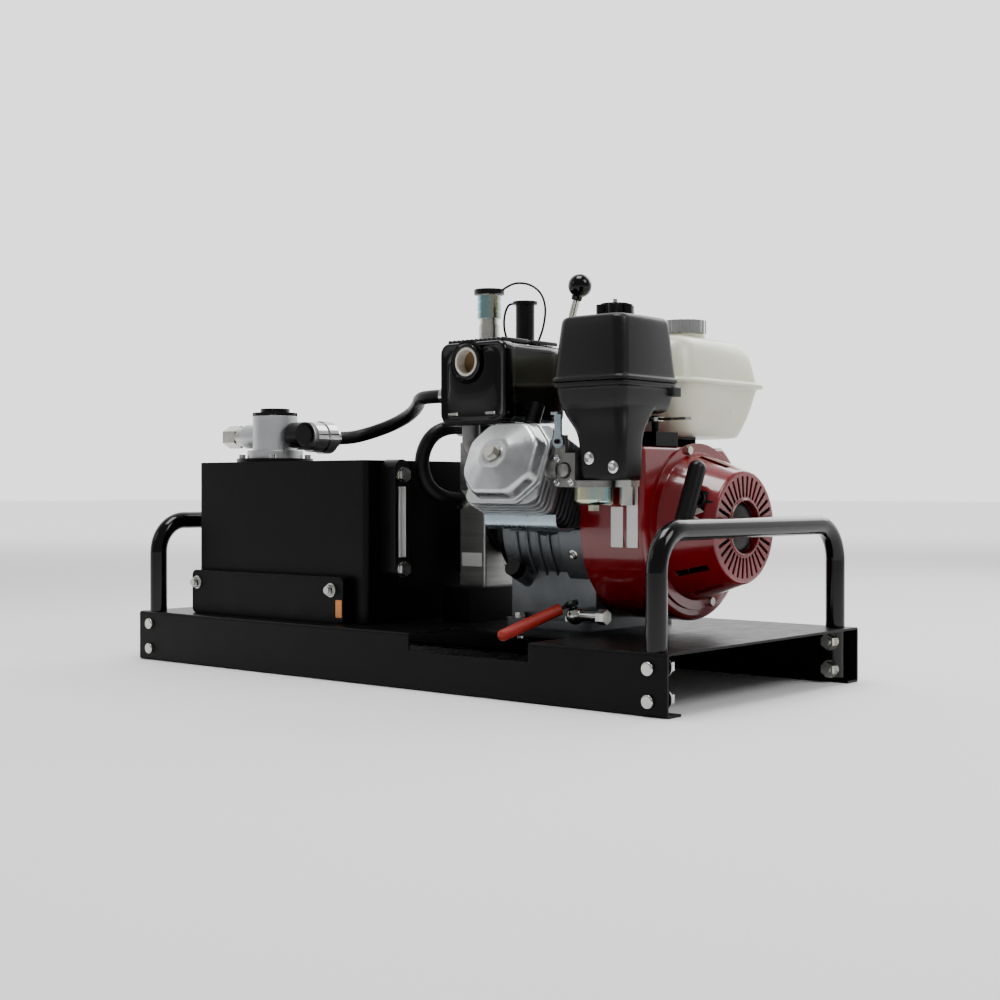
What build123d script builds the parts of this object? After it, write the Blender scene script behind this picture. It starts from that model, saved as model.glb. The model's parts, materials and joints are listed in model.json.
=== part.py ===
from build123d import *
import math
import os

# A petrol-engine hydraulic power unit on a folded steel skid. Millimetres, +Z up.
# Origin: centre of the skid's footprint on the floor. +X runs towards the recoil starter.

# ---- skid and carrying handles ----
DECK_LENGTH = 950.0
DECK_WIDTH = 444.0
DECK_TOP = 72.0
SHEET = 3.0
FOOT_WIDTH = 28.0
NOTCH_START = 81.0
NOTCH_END = 277.0
NOTCH_DEPTH = 82.0
NOTCH_FLOOR = 49.0
HANDLE_RADIUS = 12.5
HANDLE_WALL = 2.0
HANDLE_INSET = 25.0
HANDLE_BEND = 47.0
HANDLE_RISE = 135.0
HANDLE_X = DECK_LENGTH / 2 - HANDLE_INSET
LEG_GAP = 0.3
LEG_Y = DECK_WIDTH / 2 - SHEET - LEG_GAP - HANDLE_RADIUS
LEG_FOOT = SHEET + 3.0
BOLT_RADIUS = 5.0
HOLE_GAP = 0.15
BOLT_HEIGHTS = (17.5, 54.0)

# ---- oil reservoir ----
TANK_LENGTH = 352.0
TANK_WIDTH = 348.0
TANK_HEIGHT = 221.0
TANK_START = -395.0
TANK_END = TANK_START + TANK_LENGTH
TANK_TOP = DECK_TOP + TANK_HEIGHT
CLAMP_DEPTH = 15.0
CLAMP_HEIGHT = 63.0
STUD_RADIUS = 4.0
GAUGE_Y = -TANK_WIDTH / 2 + 41.5
GAUGE_WIDTH = 27.0
GAUGE_SPACING = 127.0
GAUGE_LOW = DECK_TOP + 74.0
GAUGE_HIGH = GAUGE_LOW + GAUGE_SPACING

# ---- return filter ----
FILTER_X = TANK_START + 83.0
FILTER_Y = -TANK_WIDTH / 2 + 76.0
FLANGE_RADIUS = 56.5
FLANGE_THICK = 6.0
FILTER_BASE = TANK_TOP + FLANGE_THICK
FILTER_RADIUS = 33.0
FILTER_TOP = FILTER_BASE + 63.0
PORT_Z = FILTER_BASE + 34.0
FILTER_BORE = 23.0
ELEMENT_RADIUS = 28.0

# ---- engine ----
ENGINE_X = 95.0
CRANK_Y = 28.0
CRANK_Z = DECK_TOP + 134.0
CASE_START = ENGINE_X + 15.0
CASE_END = ENGINE_X + 155.0
CASE_RADIUS = 100.0
CASE_WALL = 12.0
CYLINDER_X = ENGINE_X + 91.0
CYLINDER_TILT = 24.0
BORE_RADIUS = 44.0
THROW = 32.0
BARREL_END = 158.0
HEAD_END = 193.0
COVER_END = 228.0
FIN_WIDTH = 114.0
FIN_THICK = 3.0
FIN_PITCH = 8.0
SHAFT_RADIUS = 12.5
JOURNAL_RADIUS = 17.5
BEARING_RADIUS = 34.0
BEARING_WIDTH = 17.0
RUN_FIT = 0.05
SHROUD_START = ENGINE_X + 160.0
SHROUD_END = ENGINE_X + 255.0
SHROUD_RADIUS = 120.0
SHROUD_WALL = 2.5
SHROUD_TOP = CRANK_Z + 101.0
FLYWHEEL_RADIUS = 98.0
STARTER_END = ENGINE_X + 326.0
STARTER_ROOT = 95.0
STARTER_TIP = 70.5
STARTER_WALL = 3.0
SLOT_COUNT = 34
DISH_RADIUS = 33.0
GRIP_X = ENGINE_X + 304.0
GRIP_ANGLE = 25.0
GRIP_REACH = 98.0
GRIP_LENGTH = 90.0
GRIP_RADIUS = 11.0
PULLEY_RADIUS = 32.0
POST_RADIUS = 12.0

# ---- fuel tank, air cleaner, muffler ----
FUEL_X = ENGINE_X + 165.0
FUEL_Y = CRANK_Y + 83.0
FUEL_LENGTH = 160.0
FUEL_WIDTH = 206.0
FUEL_BOTTOM = CRANK_Z + 116.0
FUEL_HEIGHT = 135.0
FUEL_WALL = 3.0
SEAM = 8.0
FILLER_RADIUS = 24.0
FILLER_X = FUEL_X + 10.0
FILLER_Y = FUEL_Y + 6.0
AIR_X = ENGINE_X + 203.0
AIR_Y = CRANK_Y - 105.0
AIR_LENGTH = 116.0
AIR_WIDTH = 126.0
AIR_BOTTOM = CRANK_Z + 148.0
AIR_SPLIT = CRANK_Z + 180.0
AIR_TOP = CRANK_Z + 262.0
MUFFLER_X = ENGINE_X + 21.0
MUFFLER_Y = CRANK_Y - 105.5
MUFFLER_LENGTH = 112.0
MUFFLER_WIDTH = 125.0
MUFFLER_BOTTOM = CRANK_Z + 132.0
MUFFLER_HEIGHT = 110.0

# ---- pump and valve ----
BLOCK_START = ENGINE_X - 113.0
BLOCK_END = ENGINE_X - 65.0
BLOCK_FRONT = CRANK_Y - 43.0
BLOCK_BACK = CRANK_Y + 37.0
BLOCK_BOTTOM = DECK_TOP + 46.0
BLOCK_TOP = CRANK_Z + 113.0
GEAR_MODULE = 3.0
GEAR_TEETH = 12
GEAR_BACKLASH = 0.8
GEAR_WIDTH = 30.0
GEAR_CENTRES = GEAR_MODULE * GEAR_TEETH
PUMP_SHAFT = 9.0
VALVE_START = ENGINE_X - 155.0
VALVE_END = ENGINE_X + 8.0
VALVE_Y = CRANK_Y - 3.0
VALVE_WIDTH = 50.0
VALVE_BOTTOM = BLOCK_TOP + 53.0
VALVE_HEIGHT = 60.0
VALVE_TOP = VALVE_BOTTOM + VALVE_HEIGHT
SPOOL_Z = VALVE_BOTTOM + 17.0
SPOOL_RADIUS = 8.0
LEVER_ARM = 23.0
LEVER_X = VALVE_END + 24.0
LEVER_Z = SPOOL_Z + LEVER_ARM
LEVER_LENGTH = 122.0
LEVER_TILT = 18.0
COUPLER_X = ENGINE_X - 92.0
NIPPLE_X = ENGINE_X - 26.0
HOSE_RADIUS = 10.0
TETHER_RADIUS = 1.6

# ---- hose and tether routes, chosen by hand ----
RETURN_ROUTE = (
    (-312.0, 24.0, 333.0), (-312.0, 54.0, 333.0), (-296.0, 82.0, 341.0), (-258.0, 97.0, 354.0),
    (-213.0, 91.0, 369.0), (-174.0, 66.0, 381.0), (-145.0, 38.0, 388.0), (-116.0, 25.0, 389.0),
    (-84.0, 25.0, 389.0),
)
PRESSURE_ROUTE = (
    (2.0, -34.0, 340.0), (2.0, -58.0, 340.0), (-8.0, -82.0, 329.0), (-17.0, -92.0, 304.0),
    (-18.0, -92.0, 277.0), (-11.0, -82.0, 252.0), (2.0, -61.0, 239.0), (2.0, -38.0, 239.0),
)
CAP_TETHER_ROUTE = (
    (26.0, 25.0, 533.0), (33.0, 33.0, 541.0), (42.0, 44.0, 545.0), (60.0, 49.0, 541.0),
    (78.0, 50.0, 528.0), (89.0, 46.0, 507.0), (92.0, 39.0, 484.0), (91.0, 31.0, 463.0),
    (86.0, 25.0, 447.0),
)
NIPPLE_TETHER_ROUTE = (
    (50.5, 25.0, 512.0), (42.0, 24.5, 514.0), (35.0, 24.0, 506.0), (31.0, 24.0, 492.0),
    (32.0, 24.0, 475.0), (39.0, 24.5, 459.0), (52.0, 25.0, 447.0),
)


# ---------------------------------------------------------------- shape helpers
def block(x0, x1, y0, y1, z0, z1):
    """Box between two corners."""
    middle = Pos((x0 + x1) / 2, (y0 + y1) / 2, (z0 + z1) / 2)
    return middle * Box(x1 - x0, y1 - y0, z1 - z0)


def along(start, end):
    """Plane at start whose normal points at end."""
    return Plane(origin=start, z_dir=Vector(*end) - Vector(*start))


def rod(start, end, radius):
    """Round bar from start to end."""
    length = (Vector(*end) - Vector(*start)).length
    base = (Align.CENTER, Align.CENTER, Align.MIN)
    return along(start, end) * Cylinder(radius, length, align=base)


def cone(start, end, radius, end_radius):
    """Tapered bar from start to end."""
    length = (Vector(*end) - Vector(*start)).length
    base = (Align.CENTER, Align.CENTER, Align.MIN)
    return along(start, end) * Cone(radius, end_radius, length, align=base)


def hexagon(start, end, across):
    """Hexagonal bar from start to end, measured across its flats."""
    length = (Vector(*end) - Vector(*start)).length
    return along(start, end) * extrude(RegularPolygon(across / 2, 6, major_radius=False), length)


def x_rod(x0, x1, y, z, radius):
    """Round bar along X."""
    return rod((x0, y, z), (x1, y, z), radius)


def y_rod(y0, y1, x, z, radius):
    """Round bar along Y."""
    return rod((x, y0, z), (x, y1, z), radius)


def z_rod(z0, z1, x, y, radius):
    """Round bar along Z."""
    return rod((x, y, z0), (x, y, z1), radius)


def rounded_block(x0, x1, y0, y1, z0, z1, corner):
    """Box whose upright edges are rounded."""
    body = block(x0, x1, y0, y1, z0, z1)
    return fillet(body.edges().filter_by(Axis.Z), corner)


def crank_point(x, reach, angle, side=0.0):
    """Point at a distance from the crank axis, angle degrees above -Y, shifted sideways."""
    turn = math.radians(angle)
    y = CRANK_Y - reach * math.cos(turn) + side * math.sin(turn)
    z = CRANK_Z + reach * math.sin(turn) + side * math.cos(turn)
    return (x, y, z)


def cylinder_plane(reach):
    """Plane square to the engine cylinder; its X runs along the crankshaft."""
    origin = crank_point(CYLINDER_X, reach, CYLINDER_TILT)
    tip = crank_point(CYLINDER_X, reach + 1.0, CYLINDER_TILT)
    return Plane(origin=origin, x_dir=(1, 0, 0), z_dir=Vector(*tip) - Vector(*origin))


def slab(reach, thick, length, width, corner):
    """Rounded plate square to the engine cylinder."""
    return cylinder_plane(reach) * extrude(RectangleRounded(length, width, corner), thick)


def bored(reach, end, radius):
    """Round bar along the engine cylinder's axis."""
    start = crank_point(CYLINDER_X, reach, CYLINDER_TILT)
    return rod(start, crank_point(CYLINDER_X, end, CYLINDER_TILT), radius)


def hose(route, radius, name):
    """Tube of straight runs joined by tangent arcs, as large as the runs allow."""
    points = [Vector(*point) for point in route]
    bends = []
    for before, corner, after in zip(points, points[1:], points[2:]):
        run = min((corner - before).length, (after - corner).length)
        turn = math.radians((corner - before).get_angle(after - corner))
        bends.append(0.45 * run / math.tan(turn / 2))
    print(name, "bend radii", [round(bend) for bend in bends])
    path = FilletPolyline(*points, radius=bends)
    tube = sweep(Plane(origin=path @ 0, z_dir=path % 0) * Circle(radius), path=path)
    section = math.pi * radius**2 * path.length
    print(name, "length", round(path.length), "volume ratio", round(tube.volume / section, 4))
    return tube


# ---------------------------------------------------------------- skid
def skid_deck():
    half = DECK_LENGTH / 2
    side = DECK_WIDTH / 2
    sheet = block(-half, half, -side, side, 0, DECK_TOP)
    sheet = fillet(sheet.edges().filter_by(Axis.X), SHEET + 1)
    sheet -= block(-half - 1, half + 1, SHEET - side, side - SHEET, SHEET, DECK_TOP - SHEET)
    sheet -= block(-half - 1, half + 1, FOOT_WIDTH - side, side - FOOT_WIDTH, -1, SHEET + 1)
    back = NOTCH_DEPTH - side
    notch = rounded_block(NOTCH_START, NOTCH_END, -side - 20, back, NOTCH_FLOOR, DECK_TOP + 1, 6)
    sheet -= notch
    for x in (-HANDLE_X, HANDLE_X):
        for y in (-LEG_Y, LEG_Y):
            sheet -= z_rod(DECK_TOP - SHEET - 1, DECK_TOP + 1, x, y, HANDLE_RADIUS + HOLE_GAP)
        for z in BOLT_HEIGHTS:
            sheet -= y_rod(-side - 1, side + 1, x, z, BOLT_RADIUS + HOLE_GAP)
    for x, y in engine_bolt_places():
        sheet -= z_rod(DECK_TOP - SHEET - 1, DECK_TOP + 1, x, y, STUD_RADIUS + HOLE_GAP)
    return sheet


def handle(side):
    x = side * HANDLE_X
    bar = DECK_TOP + HANDLE_RISE
    corners = ((x, -LEG_Y, LEG_FOOT), (x, -LEG_Y, bar), (x, LEG_Y, bar), (x, LEG_Y, LEG_FOOT))
    path = FilletPolyline(*corners, radius=HANDLE_BEND)
    mouth = Plane(origin=path @ 0, z_dir=path % 0)
    ring = Circle(HANDLE_RADIUS) - Circle(HANDLE_RADIUS - HANDLE_WALL)
    hoop = sweep(mouth * ring, path=path)
    for z in BOLT_HEIGHTS:
        hoop -= y_rod(-DECK_WIDTH, DECK_WIDTH, x, z, BOLT_RADIUS + HOLE_GAP)
    return hoop


def handle_bolt(x, z, side):
    """Round-headed bolt from outside the web, through the leg, to a washer and nut inside."""
    face = side * DECK_WIDTH / 2
    inner = side * (LEG_Y - HANDLE_RADIUS)
    head = y_rod(face, face + side * 4.5, x, z, 8)
    crown = face + side * 4.5
    head = fillet(head.edges().filter_by(lambda e: abs(e.center().Y - crown) < 0.01), 2)
    shank = y_rod(face, inner - side * 13, x, z, BOLT_RADIUS)
    washer = y_rod(inner, inner - side * 2.5, x, z, 12)
    nut = hexagon((x, inner - side * 2.5, z), (x, inner - side * 10.5, z), 17)
    return head + shank + washer + nut


def handle_bolts():
    bolts = []
    for x in (-HANDLE_X, HANDLE_X):
        for z in BOLT_HEIGHTS:
            for side in (-1, 1):
                bolts.append(handle_bolt(x, z, side))
    return bolts


# ---------------------------------------------------------------- reservoir
def tank_shell():
    y = TANK_WIDTH / 2
    tank = rounded_block(TANK_START, TANK_END, -y, y, DECK_TOP, TANK_TOP, 7)
    inner = rounded_block(
        TANK_START + SHEET, TANK_END - SHEET, SHEET - y, y - SHEET,
        DECK_TOP + SHEET, TANK_TOP - SHEET, 4,
    )
    tank -= inner
    tank -= z_rod(TANK_TOP - SHEET - 1, TANK_TOP + 1, FILTER_X, FILTER_Y, ELEMENT_RADIUS + 2)
    for x, y_hole in flange_screw_places():
        tank -= z_rod(TANK_TOP - SHEET - 1, TANK_TOP + 1, x, y_hole, 3 + HOLE_GAP)
    for z in (GAUGE_LOW, GAUGE_HIGH):
        tank -= x_rod(TANK_END - SHEET - 1, TANK_END + 1, GAUGE_Y, z, 6 + HOLE_GAP)
    return tank


def stud_places():
    """X of the two studs that hold each clamp."""
    return (TANK_START + 15.0, TANK_END - 52.0)


def tank_clamp(side):
    """Folded channel along the foot of the tank, open towards it."""
    face = side * TANK_WIDTH / 2
    edge = face + side * CLAMP_DEPTH
    y0, y1 = sorted((face + side * 0.2, edge))
    start = TANK_START + 3
    end = TANK_END - 29
    top = DECK_TOP + CLAMP_HEIGHT
    body = block(start, end, y0, y1, DECK_TOP, top)
    body = fillet(body.edges().filter_by(Axis.Y), 8)
    z0, z1 = sorted((edge - side * SHEET, face - side * 1))
    body -= block(start + SHEET, end + 1, z0, z1, DECK_TOP + SHEET, top - SHEET)
    for x in stud_places():
        z = DECK_TOP + 45
        body -= y_rod(face, edge + side, x, z, STUD_RADIUS + HOLE_GAP)
    return body


def clamp_nuts():
    """Studs on the tank wall, each with a washer and a domed nut over the clamp."""
    nuts = []
    for side in (-1, 1):
        face = side * TANK_WIDTH / 2
        edge = face + side * CLAMP_DEPTH
        for x in stud_places():
            z = DECK_TOP + 45
            stud = y_rod(face, edge + side * 4, x, z, STUD_RADIUS)
            washer = y_rod(edge, edge + side * 1.6, x, z, 9.5)
            nut = hexagon((x, edge + side * 1.6, z), (x, edge + side * 7, z), 13)
            dome = y_rod(edge + side * 7, edge + side * 10, x, z, 5)
            nuts.append(stud + washer + nut + dome)
    return nuts


def gauge_housing():
    y0 = GAUGE_Y - GAUGE_WIDTH / 2
    y1 = GAUGE_Y + GAUGE_WIDTH / 2
    outer = TANK_END + GAUGE_WIDTH
    body = block(TANK_END, outer, y0, y1, GAUGE_LOW - 13, GAUGE_HIGH + 21)
    body = fillet(body.edges().filter_by(Axis.X), 13)
    slot = block(TANK_END + 5, outer + 1, GAUGE_Y - 7, GAUGE_Y + 7, GAUGE_LOW + 16, GAUGE_HIGH - 16)
    body -= slot
    for z in (GAUGE_LOW, GAUGE_HIGH):
        body -= x_rod(TANK_END - 1, outer + 1, GAUGE_Y, z, 6 + HOLE_GAP)
    return body


def gauge_tube():
    x = TANK_END + 16
    return z_rod(GAUGE_LOW + 16, GAUGE_HIGH - 16, x, GAUGE_Y, 6)


def gauge_bolts():
    bolts = []
    outer = TANK_END + GAUGE_WIDTH
    for z in (GAUGE_LOW, GAUGE_HIGH):
        shank = x_rod(TANK_END - 12, outer, GAUGE_Y, z, 6)
        washer = x_rod(outer, outer + 1.5, GAUGE_Y, z, 10.5)
        head = hexagon((outer + 1.5, GAUGE_Y, z), (outer + 8, GAUGE_Y, z), 17)
        bolts.append(shank + washer + head)
    return bolts


# ---------------------------------------------------------------- return filter
def flange_screw_places():
    """Plan positions of the four filter flange screws."""
    places = []
    for turn in (45, 135, 225, 315):
        angle = math.radians(turn)
        places.append((FILTER_X + 48.5 * math.cos(angle), FILTER_Y + 48.5 * math.sin(angle)))
    return places


def filter_flange():
    ring = z_rod(TANK_TOP, FILTER_BASE, FILTER_X, FILTER_Y, FLANGE_RADIUS)
    ring -= z_rod(TANK_TOP - 1, FILTER_BASE + 1, FILTER_X, FILTER_Y, ELEMENT_RADIUS + 2)
    for x, y in flange_screw_places():
        ring -= z_rod(TANK_TOP - 1, FILTER_BASE + 1, x, y, 3 + HOLE_GAP)
    return ring


def flange_screws():
    screws = []
    for x, y in flange_screw_places():
        shank = z_rod(TANK_TOP - SHEET - 5, FILTER_BASE, x, y, 3)
        head = z_rod(FILTER_BASE, FILTER_BASE + 6, x, y, 5)
        socket = hexagon((x, y, FILTER_BASE + 3), (x, y, FILTER_BASE + 7), 5)
        screws.append(shank + head - socket)
    return screws


def filter_head():
    x, y = FILTER_X, FILTER_Y
    body = z_rod(FILTER_BASE, FILTER_BASE + 12, x, y, 41)
    body += z_rod(FILTER_BASE, FILTER_TOP, x, y, FILTER_RADIUS)
    body += x_rod(x - 60, x, y, PORT_Z, 18)
    body += y_rod(y, y + 68, x, PORT_Z, 20)
    body -= z_rod(FILTER_BASE - 1, FILTER_TOP - 12, x, y, ELEMENT_RADIUS)
    body -= z_rod(FILTER_TOP - 13, FILTER_TOP + 1, x, y, FILTER_BORE)
    body -= y_rod(y, y + 69, x, PORT_Z, 13)
    body -= x_rod(x - 61, x, y, PORT_Z, 10)
    body -= x_rod(x, x + FILTER_RADIUS + 1, y, PORT_Z, 5 + HOLE_GAP)
    return body


def filter_cap():
    x, y = FILTER_X, FILTER_Y
    cap = z_rod(FILTER_TOP, FILTER_TOP + 5, x, y, FILTER_RADIUS)
    scallop = FILTER_RADIUS + 3
    for step in range(12):
        turn = math.radians(30 * step)
        px = x + scallop * math.cos(turn)
        py = y + scallop * math.sin(turn)
        cap -= z_rod(FILTER_TOP - 1, FILTER_TOP + 6, px, py, 5)
    cap += z_rod(FILTER_TOP + 5, FILTER_TOP + 11, x, y, 21.5)
    cap += z_rod(FILTER_TOP - 9, FILTER_TOP, x, y, FILTER_BORE - RUN_FIT)
    return cap


def filter_element():
    x, y = FILTER_X, FILTER_Y
    low = TANK_TOP - 150
    sleeve = z_rod(low, FILTER_BASE, x, y, ELEMENT_RADIUS - 2)
    sleeve -= z_rod(low + 4, FILTER_BASE + 1, x, y, ELEMENT_RADIUS - 14)
    return sleeve + z_rod(low, low + 4, x, y, ELEMENT_RADIUS)


def filter_plug():
    y, z = FILTER_Y, PORT_Z
    start = FILTER_X - 60
    neck = x_rod(start - 16, start, y, z, 15)
    thread = x_rod(start, start + 14, y, z, 10 - HOLE_GAP)
    head = hexagon((start - 16, y, z), (start - 43, y, z), 30)
    return neck + thread + head


def filter_gauge():
    y, z = FILTER_Y, PORT_Z
    start = FILTER_X + FILTER_RADIUS + 0.2
    stem = x_rod(start - 7, start + 8, y, z, 5)
    body = x_rod(start + 8, start + 33, y, z, 19)
    glass = x_rod(start + 31, start + 34, y, z, 16)
    return stem + body - glass


def return_coupling():
    x, z = FILTER_X, PORT_Z
    start = FILTER_Y + 68
    body = y_rod(start - 12, start, x, z, 13 - HOLE_GAP)
    body += y_rod(start, start + 22, x, z, 23)
    body += y_rod(start + 22, start + 40, x, z, 25)
    body += y_rod(start + 40, start + 54, x, z, 15)
    return body - y_rod(start - 13, start + 52, x, z, 8)


# ---------------------------------------------------------------- pump
def pedestal():
    x0, x1 = BLOCK_START + 10, BLOCK_END + 12
    y0, y1 = BLOCK_FRONT - 45, BLOCK_BACK + 5
    body = block(x0, x1, y0, y1, DECK_TOP, BLOCK_BOTTOM)
    body -= block(x0 + 6, x1 - 6, y0 - 1, y1 + 1, DECK_TOP + 6, BLOCK_BOTTOM - 6)
    return body


def gear_places():
    """Height of the drive gear and of the idler gear."""
    return (CRANK_Z, CRANK_Z - GEAR_CENTRES)


def gear_disc(turn):
    """Spur gear outline: involute flanks on a base circle, thinned by the backlash."""
    pitch = GEAR_MODULE * GEAR_TEETH / 2
    base = pitch * math.cos(math.radians(20))
    outer = pitch + 0.8 * GEAR_MODULE
    root = pitch - 1.15 * GEAR_MODULE
    half = (math.pi * GEAR_MODULE / 2 - GEAR_BACKLASH) / 2 / pitch
    half += math.tan(math.radians(20)) - math.radians(20)
    disc = Circle(root)
    for tooth in range(GEAR_TEETH):
        middle = 2 * math.pi * tooth / GEAR_TEETH + turn
        flank = []
        for step in range(6):
            radius = base + (outer - base) * step / 5
            press = math.acos(base / radius)
            flank.append((radius, half - math.tan(press) + press))
        left = [(r * math.cos(middle + a), r * math.sin(middle + a)) for r, a in flank]
        right = [(r * math.cos(middle - a), r * math.sin(middle - a)) for r, a in flank]
        inner = root - 1
        foot = [
            (inner * math.cos(middle + half), inner * math.sin(middle + half)),
            (inner * math.cos(middle - half), inner * math.sin(middle - half)),
        ]
        disc += make_face(Polyline(foot[1], *right, *reversed(left), foot[0], close=True))
    return disc


def pump_gear(z, turn, shaft_end):
    """Gear with its journals, in the pump cavity."""
    start = BLOCK_START + 1
    face = Plane(origin=(start, CRANK_Y, z), x_dir=(0, 1, 0), z_dir=(1, 0, 0))
    gear = face * extrude(gear_disc(turn), GEAR_WIDTH)
    return gear + x_rod(BLOCK_START - 8, shaft_end, CRANK_Y, z, PUMP_SHAFT)


def pump_block():
    body = block(BLOCK_START, BLOCK_END, BLOCK_FRONT, BLOCK_BACK, BLOCK_BOTTOM, BLOCK_TOP)
    body = fillet(body.edges().filter_by(Axis.Z), 3)
    cavity_end = BLOCK_START + GEAR_WIDTH + 2
    chamber = GEAR_MODULE * GEAR_TEETH / 2 + 0.8 * GEAR_MODULE + 0.4
    for z in gear_places():
        body -= x_rod(BLOCK_START - 1, cavity_end, CRANK_Y, z, chamber)
    drive, idler = gear_places()
    body -= x_rod(BLOCK_START, BLOCK_END + 1, CRANK_Y, drive, PUMP_SHAFT + RUN_FIT)
    body -= x_rod(BLOCK_START, BLOCK_END - 6, CRANK_Y, idler, PUMP_SHAFT + RUN_FIT)
    x = COUPLER_X - 1
    body -= y_rod(BLOCK_FRONT - 1, BLOCK_FRONT + 14, x, 239, 9)
    return body


def pump_cover():
    drive, idler = gear_places()
    start = BLOCK_START - 12
    body = block(start, BLOCK_START, BLOCK_FRONT + 3, BLOCK_BACK - 3, idler - 34, drive + 34)
    body = fillet(body.edges().filter_by(Axis.X), 10)
    for z in gear_places():
        body -= x_rod(BLOCK_START - 9, BLOCK_START + 1, CRANK_Y, z, PUMP_SHAFT + RUN_FIT)
    for y, z in cover_screw_places():
        body -= x_rod(start - 1, BLOCK_START + 1, y, z, 4 + HOLE_GAP)
        body -= x_rod(start - 1, start + 6, y, z, 6.5 + HOLE_GAP)
    return body


def cover_screw_places():
    """Four corners of the pump cover."""
    drive, idler = gear_places()
    places = []
    for y in (BLOCK_FRONT + 11, BLOCK_BACK - 11):
        for z in (idler - 25, drive + 25):
            places.append((y, z))
    return places


def cover_screws():
    start = BLOCK_START - 12
    screws = []
    for y, z in cover_screw_places():
        head = x_rod(start, start + 6, y, z, 6.5)
        head -= hexagon((start - 1, y, z), (start + 3, y, z), 6)
        screws.append(head + x_rod(start + 6, BLOCK_START, y, z, 4))
    return screws


def pump_adapter():
    """Bell housing between the pump block and the engine's output side."""
    body = x_rod(ENGINE_X - 12, ENGINE_X, CRANK_Y, CRANK_Z, 80)
    body += cone((BLOCK_END, CRANK_Y, CRANK_Z), (ENGINE_X - 12, CRANK_Y, CRANK_Z), 42, 62)
    body -= x_rod(BLOCK_END + 10, ENGINE_X + 1, CRANK_Y, CRANK_Z, 33)
    body -= x_rod(BLOCK_END - 1, BLOCK_END + 11, CRANK_Y, CRANK_Z, 14)
    for turn in range(0, 360, 90):
        point = crank_point(ENGINE_X, 71, turn + 45)
        body -= x_rod(ENGINE_X - 13, ENGINE_X + 1, point[1], point[2], 5 + HOLE_GAP)
    return body


def adapter_bolts():
    bolts = []
    for turn in range(0, 360, 90):
        point = crank_point(ENGINE_X, 71, turn + 45)
        shank = x_rod(ENGINE_X - 12, ENGINE_X, point[1], point[2], 5)
        head = hexagon((ENGINE_X - 12, point[1], point[2]), (ENGINE_X - 19, point[1], point[2]), 16)
        bolts.append(shank + head)
    return bolts


def coupling_jaws(start, end, turn, bore):
    """Coupling half: a hub with three jaws that reach towards the other half."""
    direction = 1 if end > start else -1
    hub = x_rod(start, end, CRANK_Y, CRANK_Z, 26)
    tip = end + direction * 10.5
    ring = x_rod(end - direction * 0.5, tip, CRANK_Y, CRANK_Z, 26)
    ring -= x_rod(end - direction, tip + direction, CRANK_Y, CRANK_Z, 14)
    x0, x1 = sorted((end - direction, tip + direction))
    for step in range(3):
        angle = 120 * step + turn
        wedge = block(x0, x1, CRANK_Y, CRANK_Y + 40, CRANK_Z - 4, CRANK_Z + 4)
        jaw = ring & wedge.rotate(Axis((0, CRANK_Y, CRANK_Z), (1, 0, 0)), angle)
        hub += jaw
    return hub - x_rod(start - direction, tip + direction, CRANK_Y, CRANK_Z, bore)


def pump_hub():
    return coupling_jaws(BLOCK_END + 14, BLOCK_END + 28, 0, PUMP_SHAFT + 0.01)


def engine_hub():
    return coupling_jaws(ENGINE_X - 12, ENGINE_X - 26, 60, SHAFT_RADIUS + 0.01)


def coupling_spider():
    """Rubber star: six arms between the jaws of the two hubs."""
    x0 = BLOCK_END + 28.2
    x1 = ENGINE_X - 26.2
    star = x_rod(x0, x1, CRANK_Y, CRANK_Z, 12.7)
    for step in range(6):
        arm = block(x0, x1, CRANK_Y, CRANK_Y + 25.5, CRANK_Z - 2.5, CRANK_Z + 2.5)
        star += arm.rotate(Axis((0, CRANK_Y, CRANK_Z), (1, 0, 0)), 60 * step + 30)
    return star - x_rod(x0 - 1, x1 + 1, CRANK_Y, CRANK_Z, 9.5)


# ---------------------------------------------------------------- valve
def valve_riser():
    x0, x1 = BLOCK_START, BLOCK_END
    half = VALVE_WIDTH / 2
    body = block(x0, x1, VALVE_Y - half, VALVE_Y + half, BLOCK_TOP, VALVE_BOTTOM)
    return body - y_rod(VALVE_Y - half - 1, VALVE_Y - half + 14, COUPLER_X - 1, BLOCK_TOP + 21, 9)


def valve_body():
    half = VALVE_WIDTH / 2
    y0, y1 = VALVE_Y - half, VALVE_Y + half
    body = block(VALVE_START, VALVE_END, y0, y1, VALVE_BOTTOM, VALVE_TOP)
    body = fillet(body.edges().filter_by(Axis.X), 4)
    body -= x_rod(VALVE_START + 6, VALVE_END + 1, VALVE_Y, SPOOL_Z, SPOOL_RADIUS + RUN_FIT)
    for x in (COUPLER_X, NIPPLE_X):
        body -= z_rod(VALVE_TOP - 14, VALVE_TOP + 1, x, VALVE_Y, 10)
    return body


def valve_spool():
    """Spool with lands and grooves; a fork at its end takes the lever's tip."""
    x0 = VALVE_START + 14
    x1 = LEVER_X + 9
    spool = x_rod(x0, x1, VALVE_Y, SPOOL_Z, SPOOL_RADIUS)
    for x in (x0 + 25, x0 + 60, x0 + 95):
        groove = x_rod(x, x + 14, VALVE_Y, SPOOL_Z, SPOOL_RADIUS + 1)
        spool -= groove - x_rod(x, x + 14, VALVE_Y, SPOOL_Z, SPOOL_RADIUS - 3)
    fork = block(LEVER_X - 4.6, LEVER_X + 4.6, VALVE_Y - 4, VALVE_Y + 4, SPOOL_Z - 9, SPOOL_Z + 9)
    return spool - fork


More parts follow.
